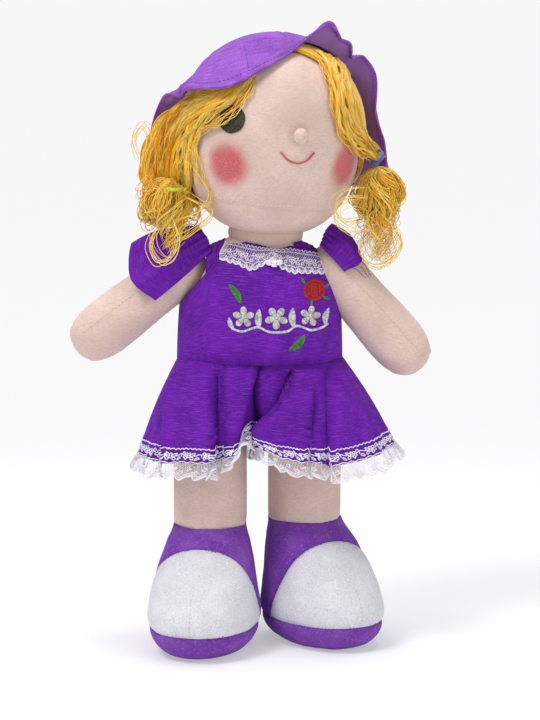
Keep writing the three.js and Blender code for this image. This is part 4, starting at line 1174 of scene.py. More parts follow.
def neckline_lace():
    tops, bottoms = np.array(NECK_LACE_TOP), np.array(NECK_LACE_BOTTOM)
    low, high = NECK_LACE_ENDS
    height = NECK_LACE_HEIGHT
    length = (high - low) * TORSO["width"] / 2 * 1.12

    def laid(lines, lift):
        """Lines of (along, share of the way down) laid over the chest."""
        lines = np.asarray(lines, float)
        share = lerp(low, high, np.clip(lines[..., 0] / length, 0, 1))
        top = TORSO["waist"] + TORSO_RISE * np.interp(share, tops[:, 0], tops[:, 1])
        bottom = TORSO["waist"] + TORSO_RISE * np.interp(share, bottoms[:, 0], bottoms[:, 1])
        z = np.minimum(lerp(top, bottom, lines[..., 1]), TORSO["top"] - 0.6)
        x = TORSO["centre"] + share * TORSO["width"] / 2
        ruffle = 0.7 * np.sin(lines[..., 0] / 1.9) * np.clip(lines[..., 1], 0, 1) ** 2
        return on_bodice(x, np.minimum(z, TORSO["top"] - 1.2), lift + ruffle)

    over = 0.5
    as_share = lambda lines: [line * [1, 1 / height] for line in lines]
    pieces = []
    motifs = as_share([line + [0, 2.2] for line in lace_motifs(length, height - 6)])
    pieces.append(threads("motifs", laid(motifs, over), 0.27, 0.5, 1))
    rows = ((3.0, 0.8, -1.2), (3.0, 1.6, 0.5), (6.5, 11.2, -0.9))
    edges = as_share([arc for row in rows for arc in edge_arcs(length, *row)])
    pieces.append(threads("edges", laid(edges, over), 0.3, 0.4, 1))
    for inset, radius in ((0.0, 0.52), (1.1, 0.27), (2.0, 0.22)):
        arcs = as_share(edge_arcs(length, 5.0, height - 1.8 - inset, 1.8))
        pieces.append(threads("scallops", laid(arcs, over), radius, 0.5, 1))
    net = []
    part = np.linspace(0, 1, 14)
    for slant in (-1, 1):
        for start in np.arange(-height / 2, length, 1.7):
            x = start + (part if slant > 0 else 1 - part) * height * 0.6
            net.append(np.stack([x, part], -1))
    pieces.append(threads("net", laid(net, over), 0.11, 0.1, 0.6, sides=3))
    obj = join("neckline_lace_cloth", pieces)
    dress(obj, "lace", "torso", ["neckline_lace"])


neckline_lace()


# ---------------------------------------------------------------- gathered bow

BOW_PLACE = (11.5, 277.5)


def bow():
    """Lace drawn together at the middle of the neckline, with two small loops."""
    x, z = BOW_PLACE
    centre = on_bodice(np.array(x), np.array(z), 2.4)
    strands = []
    angle = np.linspace(0, 2 * np.pi, 30)
    for way in (-1, 1):
        for layer in range(5):
            size = 1 - 0.13 * layer
            reach = way * 5.6 * size * np.sin(angle / 2) ** 2
            rise = 2.3 * size * np.sin(angle) * np.sin(angle / 2) + way * 0.16 * reach
            depth = -0.9 * np.sin(angle / 2) - 0.35 * layer
            strands.append(np.stack([centre[0] + reach, centre[1] + depth, centre[2] + rise], -1))
    knot = []
    for layer in range(9):
        tilt = (layer - 4) * 0.34
        x = tilt + 0.15 * np.sin(angle * 3)
        knot.append(centre + np.stack([x, -2.4 * np.cos(angle) - 0.4, 2.4 * np.sin(angle)], -1))
    obj = threads("lace_bow_gathered", strands + knot, 0.42, 0.5, sides=5)
    dress(obj, "lace", "torso", ["lace_bow"])


bow()


# ---------------------------------------------------------------- embroidery


def along_line(points, parts):
    """Places at shares of the length of a line."""
    points = np.asarray(points, float)
    far = line_lengths(points)
    return at_lengths(points, far, parts * far[-1])


def satin(first, second, pitch=0.7, rise=0.8):
    """Stitches laid side by side from one edge to the other, arched over their padding."""
    longest = max(np.linalg.norm(np.diff(line, axis=0), axis=1).sum() for line in (first, second))
    parts = np.linspace(0, 1, max(4, int(longest / pitch)))
    start, end = along_line(first, parts), along_line(second, parts)
    across = np.linspace(0, 1, 7)
    flat = start[:, None] + (end - start)[:, None] * across[None, :, None]
    spread = np.minimum(np.linalg.norm(end - start, axis=-1, keepdims=True) / 3, 1)
    lift = 0.15 + rise * spread * np.sin(np.pi * across) + rng.uniform(-0.06, 0.06, (len(parts), 1))
    return list(on_bodice(flat[..., 0], flat[..., 1], lift))


def leaf_stitches(base, tip, width, bend=0.0):
    """Two halves of slanting stitches that meet on the leaf's vein."""
    base, tip = np.array(base, float), np.array(tip, float)
    part = np.linspace(0, 1, 24)
    way = tip - base
    aside = np.array([-way[1], way[0]]) / np.linalg.norm(way)
    vein = base + way * part[:, None] + aside * (bend * np.sin(np.pi * part))[:, None]
    stitches = []
    for side in (-1, 1):
        half = side * width / 2 * np.sin(np.pi * np.clip(part * 0.96 + 0.02, 0, 1)) ** 0.75
        edge = vein + aside * half[:, None]
        ahead = along_line(edge, np.clip(part + 0.1, 0, 1))
        stitches += satin(vein, ahead, pitch=0.62, rise=0.55)
    return stitches


def petal_stitches(centre, turn, length, width):
    centre = np.array(centre, float)
    way = np.array([math.cos(turn), math.sin(turn)])
    aside = np.array([-way[1], way[0]])
    part = np.linspace(0.0, 1, 20)
    half = width / 2 * np.sin(np.pi * (0.12 + 0.88 * part)) ** 0.6 * (0.55 + 0.45 * part)
    line = centre + way * (length * (0.2 + 0.8 * part))[:, None]
    return satin(line + aside * half[:, None], line - aside * half[:, None], pitch=0.62, rise=0.7)


def thread_piece(name, lines, radius, material, body="torso", sides=5):
    dress(threads(name, lines, radius, sides=sides), material, body)


# The blossoms of the sprig: where their middles are, how long their petals are, and how they are turned
BLOSSOMS = [((-9.5, 241.5), 7.4, 0.3), ((13.5, 241), 8.0, 0.9), ((37, 241.5), 7.2, 0.1)]


def silver_sprig():
    """A running sprig of five-petalled blossoms and leaves in silver-white thread."""
    stem = [(-18, 233.5), (-10, 231.5), (0, 234.5), (9, 231), (20, 231.5), (28, 235), (38, 231.5), (49, 235)]
    line = through(stem, 90)
    drift = [0, 0.75]
    stitches = satin(line - drift, line + drift, pitch=0.55, rise=0.35)
    for centre, size, turn in BLOSSOMS:
        for petal in range(5):
            stitches += petal_stitches(centre, turn + petal * 2 * math.pi / 5, size, size * 0.78)
    for base, tip, width in (
        ((1.5, 234), (1.5, 247), 4.6),
        ((25.5, 234), (25, 247.5), 4.8),
        ((47, 234.5), (50, 246), 4.2),
        ((-16.5, 233), (-19.5, 241), 3.4),
    ):
        stitches += leaf_stitches(base, tip, width, 0.8)
    thread_piece("silver_sprig_stitches", stitches, 0.34, "silver")
    knots = []
    angle = np.linspace(0, 4 * np.pi, 7)
    for centre, _, _ in BLOSSOMS:
        for ring in range(3):
            reach = 0.45 + 0.4 * ring
            x, z = centre[0] + reach * np.cos(angle + ring), centre[1] + reach * np.sin(angle + ring)
            knots.append(on_bodice(x, z, np.full(7, 1.1 - 0.15 * ring)))
    thread_piece("silver_sprig_knots", knots, 0.42, "silver")


def rose():
    """Red crescents wound round each other, with green tips and stem."""
    centre = np.array([40.0, 259.5])
    stitches = []
    for radius, width, start, sweep in (
        (6.6, 2.6, 0.2, 2.2),
        (6.6, 2.6, 2.3, 2.2),
        (6.6, 2.6, 4.4, 2.2),
        (4.3, 2.5, 1.1, 2.4),
        (4.3, 2.5, 3.2, 2.3),
        (4.3, 2.5, 5.3, 2.3),
        (2.2, 2.4, 0.3, 3.2),
        (2.2, 2.4, 3.4, 3.0),
        (0.5, 1.6, 0.0, 6.0),
    ):
        part = np.linspace(0, 1, 20)
        angle = start + sweep * part
        swell = np.sin(np.pi * np.clip(part * 0.9 + 0.08, 0, 1)) ** 0.5
        way = np.stack([np.cos(angle), np.sin(angle)], -1)
        inner = centre + way * (radius - width / 2 * swell)[:, None] * [1, 0.98]
        outer = centre + way * (radius + width / 2 * swell)[:, None] * [1, 0.98]
        stitches += satin(inner, outer, pitch=0.62, rise=0.75)
    thread_piece("rose_stitches", stitches, 0.33, "rose")
    greens = []
    for base, tip, width in (
        ((33.5, 264), (30.8, 268.2), 1.8),
        ((46.8, 261.2), (50.8, 262.6), 1.8),
        ((46, 254.5), (50.6, 252.2), 1.9),
    ):
        greens += leaf_stitches(base, tip, width)
    stem = np.array([(38.4, 252.2), (37.9, 249.5), (38.9, 246.0)])
    greens += satin(stem - [0.6, 0], stem + [0.6, 0], pitch=0.4, rise=0.2)
    greens += leaf_stitches((-11.4, 251.2), (-19.4, 264.0), 4.6, -1.2)
    greens += leaf_stitches((31.7, 228.6), (21.8, 218.0), 4.6, 1.4)
    thread_piece("leaf_stitches", greens, 0.28, "leaf")


silver_sprig()
rose()


# ---------------------------------------------------------------- shoulder straps

STRAP_WIDTH, STRAP_REACH = 13, 31
STRAP_LIFT = 0.7


def strap(side):
    middle = STRAP_REACH * TOWARDS[side]
    front_edge, back_edge = np.array(FRONT_EDGE).T, np.array(BACK_EDGE).T
    rows = np.array(TORSO_SHARES)[::-1]

    def surface(u, v):
        u, v = np.broadcast_arrays(np.asarray(u, float), np.asarray(v, float))
        arch = np.sin(np.pi * np.clip(u, 0, 1))
        x = TORSO["centre"] + middle + (v - 0.5) * STRAP_WIDTH * (1 - 0.12 * arch)
        share = (x - TORSO["centre"]) / HALF_WIDTH
        peak = TORSO["bottom"] + TORSO_HEIGHT * np.interp(np.abs(share) / 0.992, rows[:, 1], rows[:, 0])
        edge = np.where(u < 0.5, np.interp(share, *front_edge), np.interp(share, *back_edge))
        foot = TORSO["waist"] + TORSO_RISE * edge + 0.3
        foot = np.minimum(foot, peak - 1.0)
        z = lerp(foot, peak, arch**0.8)
        front = on_chest(x, z, np.zeros(x.shape), 1)
        back = on_chest(x, z, np.zeros(x.shape), -1)
        wrinkle = 0.35 * np.sin(v * 19 + 3 * u)
        point = np.where((u < 0.5)[..., None], front, back)
        return point + unit(point - [TORSO["centre"], 0, 268]) * wrinkle[..., None]

    us, vs = np.linspace(0, 1, 40), np.linspace(0, 1, 14)
    obj = cloth(f"shoulder_strap_{side}_cloth", surface, us, vs, STRAP_LIFT, CLOTH_THICKNESS)
    dress(obj, "romper", "torso", [f"shoulder_strap_{side}"])


for side in SIDES:
    strap(side)


# ---------------------------------------------------------------- shoulder ties

ARM_RADIUS = 21.5
SHOULDER_HEIGHT = 272
SHOULDER_REACH = 55.5
ARM_ANGLES = {"right": math.radians(52), "left": math.radians(-41)}
TIE_ANGLES = {"right": (math.radians(10), math.radians(100)), "left": (math.radians(10), math.radians(76))}
# Shares across each tie: how far along the arm and out from it the cloth starts and ends, in arm radii
TIE_SHARES = {
    "right": [
        (0.0, -1.4, 0.72, 0.75, 1.75),
        (0.3, -1.4, 0.66, 1.3, 1.4),
        (0.6, -1.4, 0.62, 1.42, 1.32),
        (1.0, -1.25, 0.72, 1.2, 1.32),
    ],
    "left": [
        (0.0, -1.24, 0.9, -0.45, 1.2),
        (0.4, -1.2, 0.78, 0.3, 1.18),
        (1.0, -0.98, 0.74, 0.2, 1.09),
    ],
}


def from_arm(side, points):
    """Points of an arm's own frame, in the doll's."""
    matrix = np.array(
        Matrix.Translation((TOWARDS[side] * SHOULDER_REACH, 0, SHOULDER_HEIGHT))
        @ Matrix.Rotation(ARM_ANGLES[side], 4, "Y")
    )
    return points @ matrix[:3, :3].T + matrix[:3, 3]


def tie_point(side, u, v):
    u, v = np.broadcast_arrays(np.asarray(u, float), np.asarray(v, float))
    angle = lerp(*TIE_ANGLES[side], v)
    from_along, from_out, to_along, to_out = read_shares(TIE_SHARES[side], np.clip(v, 0, 1))
    along = ARM_RADIUS * lerp(from_along, to_along, u)
    out = ARM_RADIUS * lerp(from_out, to_out, np.sin(np.clip(u, -0.1, 1.1) * np.pi / 2))
    spread = np.sin(np.pi * np.clip(0.12 + 0.78 * u, 0, 1))
    ridges = 0.2 * np.tanh(2.0 * np.cos(2 * np.pi * (3.1 * v - 0.45 * u) + 0.6))
    for line, way, reach, rise in ((0.3 + 0.16 * u, 1, 0.2, 1.5), (0.78 - 0.12 * u, -1, 0.16, 1.3)):
        past = (v - line) * way
        step = 0.5 + 0.5 * np.tanh(past / 0.022)
        ridges = ridges + rise * step * np.exp(-((np.maximum(past, 0) / reach) ** 2))
    ridges = ridges * spread
    gathers = 1.5 * np.sin(2 * np.pi * 5.3 * v + 1) * np.exp(-((u / 0.26) ** 2))
    out = out + ridges * (3.0 if side == "right" else 1.4) + gathers
    points = np.stack([TOWARDS[side] * out * np.cos(angle), -out * np.sin(angle), -along], -1)
    return from_arm(side, points)


def hem_stitches(surface, facing):
    """Stitches along the lower hem of a shoulder tie."""
    part = np.linspace(0, 1, 6)
    us = np.full(6, 0.93)
    stitches = []
    for index in range(26):
        vs = (index + 0.15 + 0.6 * part) / 26
        stitches.append(surface(us, vs) + normals_of(surface, us, vs, facing) * (CLOTH_THICKNESS + 0.05))
    return stitches


def loose_ends(side):
    """Threads that hang from the middle of a shoulder tie's lower edge."""
    part = np.linspace(0, 1, 6)
    strands = []
    for offset in (0.0, 0.5, 1.0):
        start = tie_point(side, np.array(1.0), np.array(0.5 + 0.3 * offset))
        fall = part[:, None] * [7 + 3 * offset, -1.5, -9 + 3 * offset]
        strands.append(start + fall + np.sin(part * 5)[:, None] * [0, 0, 1.2])
    return strands


def tie(side):
    surface = lambda u, v: tie_point(side, u, v)
    sign = TOWARDS[side]
    name = f"shoulder_tie_{side}_cloth"
    us = np.linspace(0, 1, 56)
    obj = cloth(name, surface, us, us, 0, CLOTH_THICKNESS, facing=-sign)
    stitches = hem_stitches(surface, -sign) if side == "right" else loose_ends(side)
    thread = threads("tie_thread", stitches, 0.22)
    thread.data.materials.append(MATERIALS["seam"])
    obj.data.materials.append(MATERIALS["romper"])
    flat, cut = list(obj["flat"]), obj["cut"]
    obj = join(name, [obj, thread])
    obj["flat"], obj["cut"] = flat, cut
    dress(obj, "romper", None, [f"shoulder_tie_{side}"])
    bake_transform(obj)
# Glossy golden fibre, deeper at the root and pale where strands stand up: each strand's tint paints shade on
# low strands and light on those standing out, with random streaks.


for side in SIDES:
    tie(side)


# ---------------------------------------------------------------- head

HEAD_HALF = np.array([63.5, 56.0, 69.0])
# The head's mean half size, which turns a small lift into a share
HEAD_MEAN = 60
CROWN_POWER, CHIN_POWER = 2.06, 2.45
HEAD_RISE = 63.5
HEAD_MATRIX = np.array(
    Matrix.Translation(NECK_PIVOT)
    @ Matrix.Rotation(math.radians(5), 4, "Y")
    @ Matrix.Rotation(math.radians(18.5), 4, "Z")
    @ Matrix.Translation((0, 0, HEAD_RISE))
)
HEAD_INVERSE = np.linalg.inv(HEAD_MATRIX)


def from_head(points):
    """Points of the head's own frame, in the doll's."""
    return points @ HEAD_MATRIX[:3, :3].T + HEAD_MATRIX[:3, 3]


def in_head_frame(point):
    """A point of the doll's own frame, in the head's."""
    return (HEAD_INVERSE @ np.array([*point, 1.0]))[:3]


def head_power(polar):
    return lerp(CROWN_POWER, CHIN_POWER, smoothstep(polar, 0, np.pi))


def head_point(polar, azimuth, lift=0.0):
    power = head_power(polar)
    out = rounded(np.sin(polar), power)
    x = (HEAD_HALF[0] + lift) * out * np.sin(azimuth)
    y = -(HEAD_HALF[1] + lift) * out * np.cos(azimuth)
    z = (HEAD_HALF[2] + lift) * rounded(np.cos(polar), power)
    return stacked(x, y, z)


def head_share(points, half=HEAD_HALF):
    """How far out points lie, as a share of the head's surface or of a wider one of its form."""
    level = np.hypot(points[..., 0] / half[0], points[..., 1] / half[1])
    upright = points[..., 2] / half[2]
    power = head_power(np.arctan2(level, upright))
    return (level**power + np.abs(upright) ** power) ** (1 / power)


def off_head(points, lift):
    """Points moved out where they lie less than lift from the head's surface."""
    least = 1 + np.asarray(lift) / HEAD_MEAN
    return points * np.maximum(1, least / np.maximum(head_share(points), 1e-6))[..., None]


CHIN_SEAM = -46.0


def head_piece():
    polar = np.linspace(0, np.pi, 150)[1:-1]
    azimuth = ring_angles(240)
    points = head_point(polar[:, None], azimuth[None])
    out = unit(points / HEAD_HALF**2)
    z = points[..., 2]
    groove = 0.9 * np.exp(-(((z - CHIN_SEAM) / 1.1) ** 2)) - 0.25 * np.exp(-(((z - CHIN_SEAM) / 6) ** 2))
    puckers = 0.16 * np.sin(azimuth * 90) * np.exp(-(((z - CHIN_SEAM) / 3) ** 2))
    soft = 0.35 * noise(points, 55, seed=8)
    nose = np.linalg.norm(points - NOSE_PLACE, axis=-1)
    dimple = np.exp(-(((nose - 5.5) / 2.0) ** 2))
    points = points + out * (soft - groove - puckers - dimple)[..., None]
    rows, columns = points.shape[:2]
    flat = points.reshape(-1, 3)
    top, bottom = head_point(np.array(0.0), 0.0), head_point(np.array(np.pi), 0.0)
    faces = [face[::-1] for face in grid_faces(rows, columns, True)]
    count = rows * columns
    for column in range(columns):
        side = (column + 1) % columns
        faces.append((count, side, column)[::-1])
        faces.append((count + 1, count - columns + column, count - columns + side)[::-1])
    every = np.concatenate([flat, [top, bottom]])
    obj = mesh_from("head_stuffed", from_head(every), faces)
    blush = np.zeros(len(every))
    for place in BLUSH_PLACES:
        away = np.linalg.norm(every - place, axis=1) / BLUSH_RADIUS
        away = away * (1 + 0.05 * noise(every, 9, seed=2))
        blush = np.maximum(blush, 0.92 * (1 - smoothstep(away, 0.5, 1.25)))
    set_attribute(obj, "blush", blush)
    dress(obj, "face", "head", ["head"])


NOSE_RISE = math.radians(4)
NOSE_PLACE = head_point(np.array(np.pi / 2 - NOSE_RISE), 0.0)
BLUSH_RADIUS = 16.5


def face_place(x, z):
    """A place on the face, found from where it is seen in the doll's own front view."""
    start, end = in_head_frame((x, -400.0, z)), in_head_frame((x, 0.0, z))
    low, high = 0.0, 1.0
    for _ in range(50):
        middle = (low + high) / 2
        if head_share(lerp(start, end, middle)) > 1:
            low = middle
        else:
            high = middle
    return lerp(start, end, high)


BLUSH_PLACES = [face_place(-21, 350.6), face_place(63, 348.5)]
head_piece()


def nose_piece():
    polar = np.linspace(0.03, np.pi * 0.99, 26)
    azimuth = ring_angles(32)
    width, height, depth = 4.7, 5.7, 5.4
    neck = 1 - 0.22 * smoothstep(polar, 1.9, 2.7)
    x = width * np.sin(polar)[:, None] * np.cos(azimuth) * neck[:, None]
    z = height * np.sin(polar)[:, None] * np.sin(azimuth) * neck[:, None]
    y = -depth * np.cos(polar)[:, None] * np.ones_like(azimuth)
    pucker = 1 + 0.05 * np.sin(azimuth * 9) * smoothstep(polar, 1.4, 2.4)[:, None]
    points = np.stack([x * pucker, y - 2.6, z * pucker], -1) + NOSE_PLACE
    faces = [face[::-1] for face in closed_faces(len(polar), len(azimuth))]
    obj = mesh_from("nose_stuffed", from_head(points.reshape(-1, 3)), faces)
    dress(obj, "skin", "head", ["nose"])


nose_piece()


EYE_SPREAD, EYE_RISE, EYE_RADIUS = math.radians(46), math.radians(9.7), 10.0


def eye_piece(side):
    centre = head_point(np.array(np.pi / 2 - EYE_RISE), TOWARDS[side] * EYE_SPREAD)
    out = unit(centre / HEAD_HALF**2)
    across = unit(np.cross([0, 0, 1.0], out))
    up = np.cross(out, across)
    parts = np.array([0.02, 0.25, 0.5, 0.75, 0.9, 0.97, 1.0])
    heights = np.array([1.5, 1.5, 1.48, 1.42, 1.25, 1.0, 0.35])
    angles = ring_angles(48)
    radius = EYE_RADIUS * parts[:, None] * (1 + 0.012 * np.sin(angles * 7))
    places = centre + across * (radius * np.cos(angles))[..., None]
    places = places + up * (radius * np.sin(angles))[..., None]
    places = places / head_share(places)[..., None]
    points = places + unit(places / HEAD_HALF**2) * heights[:, None, None]
    rings = np.concatenate([points, places[-1:]])
    faces = closed_faces(len(rings), len(angles))
    obj = mesh_from(f"eye_{side}_felt", from_head(rings.reshape(-1, 3)), faces)
    dress(obj, "felt", "head", [f"eye_{side}"])


for side in SIDES:
    eye_piece(side)


def face_threads():
    """The stitched mouth and the chin seam's stitches."""
    corners = ((16.5, 360), (22, 354.3), (28.7, 352), (35, 354), (40, 359))
    part = np.linspace(0, len(corners) - 1, 60)
    line = off_head(through([face_place(x, z) for x, z in corners], len(part)), 0.55)
    out = unit(line / HEAD_HALF**2)
    strands = []
    for offset in (-0.28, 0.28):
        wobble = offset * np.cos(part * 16)[:, None] * [0, 0, 1]
        strands.append(line + wobble + out * (0.15 * np.sin(part * 16 + (offset > 0) * 3))[:, None])
    mouth = tubes("mouth_stitches", from_head(np.array(strands)), 0.5, [0.4, 0.7], sides=6)
    dress(mouth, "mouth", "head")
    polar = math.pi / 2 + math.asin(-CHIN_SEAM / HEAD_HALF[2])
    stitches = []
    for azimuth in np.linspace(-2.4, 2.4, 120):
        points = head_point(np.full(5, polar), azimuth + np.linspace(0, 0.022, 5), -0.35)
        points[:, 2] = CHIN_SEAM
        stitches.append(points / head_share(points)[:, None] * (1 - 0.35 / HEAD_MEAN))
    thread_piece("chin_seam_stitches", from_head(np.array(stitches)), 0.32, "skin_seam", "head", sides=4)


face_threads()


# ---------------------------------------------------------------- hat

HAT_TILT = math.radians(45)
HAT_LIFT = 6
HAT_THICKNESS = 1.5
HAT_SEAM = math.radians(60)
BRIM_RADIUS, BRIM_HEIGHT = 80, 36
HAT_AXIS = np.array([0, math.sin(HAT_TILT), math.cos(HAT_TILT)])
HAT_FRONT = np.array([0, -math.cos(HAT_TILT), math.sin(HAT_TILT)])
# Degrees round the hat, and shares of the brim's radius and of its height
BRIM_SHARES = [
    (-180, 1.08, 0.6),
    (-150, 1.08, 0.6),
    (-120, 1.1, 0.72),
    (-96, 0.96, 1.03),
    (-75, 0.97, 0.5),
    (-66, 1.03, 0.36),
    (-57, 0.98, 0.1),
    (-41, 0.92, -0.1),
    (-21, 0.86, 0.2),
    (0, 0.82, 0.7),
    (12, 0.9, 1.06),
    (20, 1.0, 1.3),
    (29, 0.955, 1.1),
    (37, 0.965, 1.12),
    (43, 0.9, 0.98),
    (49, 0.98, 1.06),
    (60, 1.03, 0.88),
    (75, 0.98, 0.5),
    (92, 1.09, 0.0),
    (102, 1.2, -0.28),
    (120, 1.18, 0.05),
    (150, 1.1, 0.5),
    (180, 1.08, 0.6),
]


def hat_direction(polar, turn):
    angle = 2 * np.pi * turn
    side = np.array([1.0, 0, 0])
    cos_polar, sin_polar = np.cos(polar)[..., None], np.sin(polar)[..., None]
    around = HAT_FRONT * np.cos(angle)[..., None] + side * np.sin(angle)[..., None]
    return HAT_AXIS * cos_polar + sin_polar * around


def crown_point(polar, turn):
    polar, turn = np.broadcast_arrays(np.asarray(polar, float), np.asarray(turn, float))
    way = hat_direction(polar, turn)
    return way / head_share(way, HEAD_HALF + HAT_LIFT)[..., None]


def brim_edge(turn):
    degrees = (turn % 1) * 360
    degrees = np.where(degrees > 180, degrees - 360, degrees)
    radius, height = read_shares(BRIM_SHARES, degrees)
    out = hat_direction(np.full_like(turn, np.pi / 2), turn) * (radius * BRIM_RADIUS)[..., None]
    return out + HAT_AXIS * (height * BRIM_HEIGHT)[..., None]


# Where the brim's edge rolls towards its lining: degrees round the hat, spread in degrees, turn in radians
BRIM_ROLLS = [(20, 7, 4.2), (43, 5, 2.2), (-70, 7, 4.0), (102, 6, 3.0), (78, 8, 1.6)]
ROLL_SHARE = 0.15


def brim_point(u, v):
    u, v = np.broadcast_arrays(np.asarray(u, float), np.asarray(v, float))
    seam = crown_point(np.full_like(v, HAT_SEAM), v) - HAT_AXIS * SEAM_GAP
    edge = brim_edge(v)
    degrees = (v * 360 + 180) % 360 - 180
    turned = sum(turn * np.exp(-(((degrees - middle) / spread) ** 2)) for middle, spread, turn in BRIM_ROLLS)
    edge = seam + (edge - seam) * (1 + 0.03 * turned)[..., None]
    length = np.linalg.norm(edge - seam, axis=-1)
    ahead = unit(edge - seam)
    outward = hat_direction(np.full_like(v, np.pi / 2), v)
    rise = np.clip((ahead * HAT_AXIS).sum(-1), -1, 1)
    under = outward * rise[..., None] - HAT_AXIS * np.sqrt(1 - rise**2)[..., None]
    past = np.maximum(u - (1 - ROLL_SHARE), 0) * length
    bend = np.maximum(turned, 0.02) / (ROLL_SHARE * length)
    along = np.minimum(u, 1 - ROLL_SHARE) * length + np.sin(past * bend) / bend
    point = seam + ahead * along[..., None] + under * ((1 - np.cos(past * bend)) / bend)[..., None]
    waves = 0.8 * np.sin(2 * np.pi * v * 9 + 1) + 0.5 * np.sin(2 * np.pi * v * 17)
    return point + HAT_AXIS * (np.sin(np.pi * np.clip(u, 0, 1)) * waves)[..., None]


HAT_TURNS = np.linspace(0, 1, 361)[:-1]


def hat_piece(name, surface, us, facing):
    placed_surface = lambda u, v: from_head(surface(u, v))
    obj = cloth(name + "_cloth", placed_surface, us, HAT_TURNS, 0, HAT_THICKNESS, around=True, facing=facing)
    dress(obj, "hat", "head", [name])
    return obj


def crown_surface(u, v):
    """The crown with its six seams, from its lower edge at 0 to its top at 1."""
    share = 1 - u
    seams = np.abs(np.sin(np.pi * v * 6))
    point = crown_point(HAT_SEAM * np.clip(share, 0.0005, 1), v)
    sink = 0.8 * np.exp(-((seams * np.maximum(share, 0.05) / 0.05) ** 2))
    sink = sink + 0.5 * np.exp(-(((share - 1) / 0.03) ** 2))
    soft = 0.9 * noise(point, 48, seed=6)
    return point - unit(point) * (sink - np.maximum(soft, -0.2))[..., None]


hat_crown = hat_piece("hat_crown", crown_surface, np.linspace(0, 0.985, 40), 1)
# The brim's rows, with a close pair where its hem is turned in and shows the outer side's colour
BRIM_ROWS = np.concatenate([np.linspace(0, 0.85, 30), [0.856], np.linspace(0.88, 1, 8)])
BRIM_HEM = 0.853
hat_brim = hat_piece("hat_brim", brim_point, BRIM_ROWS, -1)
turned_in = np.repeat(BRIM_ROWS > BRIM_HEM, len(HAT_TURNS))
lined = np.concatenate([np.zeros(len(turned_in)), 1.0 - turned_in]).astype(np.float32)
hat_brim.data.attributes["inside"].data.foreach_set("value", lined)


# ---------------------------------------------------------------- hair

# Each lock's middle line from parting to tip, as shares of the head's half sizes
LOCK_SHARES = {
    "right": [
        (-0.31, -0.74, 0.74),
        (-0.54, -0.72, 0.61),
        (-0.77, -0.68, 0.45),
        (-1.0, -0.4, 0.14),
        (-1.1, -0.12, -0.22),
        (-1.12, 0.0, -0.48),
        (-1.12, 0.02, -0.66),
    ],
    "left": [
        (0.1, -0.6, 0.88),
        (0.42, -0.7, 0.7),
        (0.54, -0.8, 0.36),
        (0.7, -0.74, 0.06),
        (0.92, -0.6, -0.06),
        (1.06, -0.52, -0.09),
        (1.12, -0.5, -0.11),
    ],
}
LOCK_WIDTH = 30
# How many strands and wisps each lock has, the points of a strand, and the clumps across a lock
LOCK_COUNTS = {"right": (720, 26), "left": (520, 30)}
LOCK_STEPS, LOCK_CLUMPS = 40, 9
BAND_SHARE, BAND_TUBE, BAND_TURNS = 0.93, 2.6, 3.02

# Guide lines of each lock, from its inner edge to its outer one: (x, z) seen from the doll's front
LOCK_GUIDES = {
    "right": [
        [(-1, 420), (-6, 406), (-15, 395), (-29, 386), (-42, 373), (-48, 355), (-48, 337), (-45, 324)],
        [(-5, 419), (-18, 402), (-31, 391), (-43, 380), (-52, 366), (-57, 350), (-57, 336), (-53, 325)],
        [(-14, 412), (-27, 403), (-41, 393), (-52, 381), (-60, 366), (-65, 350), (-65, 337), (-60, 326)],
        [(-23, 409), (-36, 403), (-50, 393), (-61, 380), (-68, 365), (-73, 350), (-73, 338), (-67, 327)],
        [(-34, 406), (-45, 402), (-57, 392), (-67, 378), (-75, 364), (-79, 351), (-79, 341), (-73, 330)],
    ],
    "left": [
        [(17, 428), (29, 433), (39, 427), (46, 416), (51, 401), (53, 386), (58, 371), (69, 360), (83, 352.5)],
        [
            *((22, 430), (34, 435), (45, 428), (53, 415), (57, 400)),
            *((60, 385), (65, 372), (74, 362), (84.5, 353.5)),
        ],
        [(27, 431), (39, 436), (51, 426), (60, 413), (63, 398), (66, 385), (71, 373), (79, 363), (86, 354.5)],
    ],
}
LOCK_WISPS = {
    "right": [
        [(2, 419), (-2, 405), (-8, 393), (-15, 384), (-24, 378), (-35, 374), (-43, 362), (-47, 346)],
        [(-3, 420), (-8, 404), (-15, 394), (-24, 387), (-33, 380), (-40, 370), (-43, 355), (-41, 338)],
        [(-6, 417), (-16, 404), (-25, 394), (-34, 385), (-41, 374), (-41, 358), (-35, 345), (-38, 332)],
    ],
    "left": [
        [(15, 427), (27, 431), (35, 426), (43, 417), (48, 402), (50, 387), (55, 369), (66, 357), (81, 351)],
        [(29, 431), (42, 435), (53, 425), (62, 412), (66, 398), (69, 384), (75, 372), (82, 362), (87, 354)],
    ],
}


def lock_line(side, part):
    """Points of a lock's middle line in the head's frame, at shares of its length."""
    rows = [(index / 6, *row) for index, row in enumerate(LOCK_SHARES[side])]
    return np.stack(read_shares(rows, part), -1) * HEAD_HALF


def guide_lines(rows, steps):
    """Smooth lines in the head's frame over places seen from the front."""
    return np.array([through([face_place(x, z) for x, z in row], steps) for row in rows])


def hair_tubes(name, paths, size, tint):
    """Strands of one mean thickness in millimetres, each thinner at both ends."""
    count, steps = np.shape(paths)[:2]
    taper = 1 - 0.7 * np.linspace(-1, 1, steps) ** 8
    radius = size * taper[None] * rng.uniform(0.7, 1.3, (count, 1))
    return tubes(name, from_head(paths), radius, tint, sides=3)


def strand_lengths(lines):
    """How far each point of many lines lies along its own."""
    steps = np.linalg.norm(np.diff(lines, axis=1), axis=-1)
    return np.concatenate([np.zeros((len(lines), 1)), np.cumsum(steps, axis=1)], axis=1)


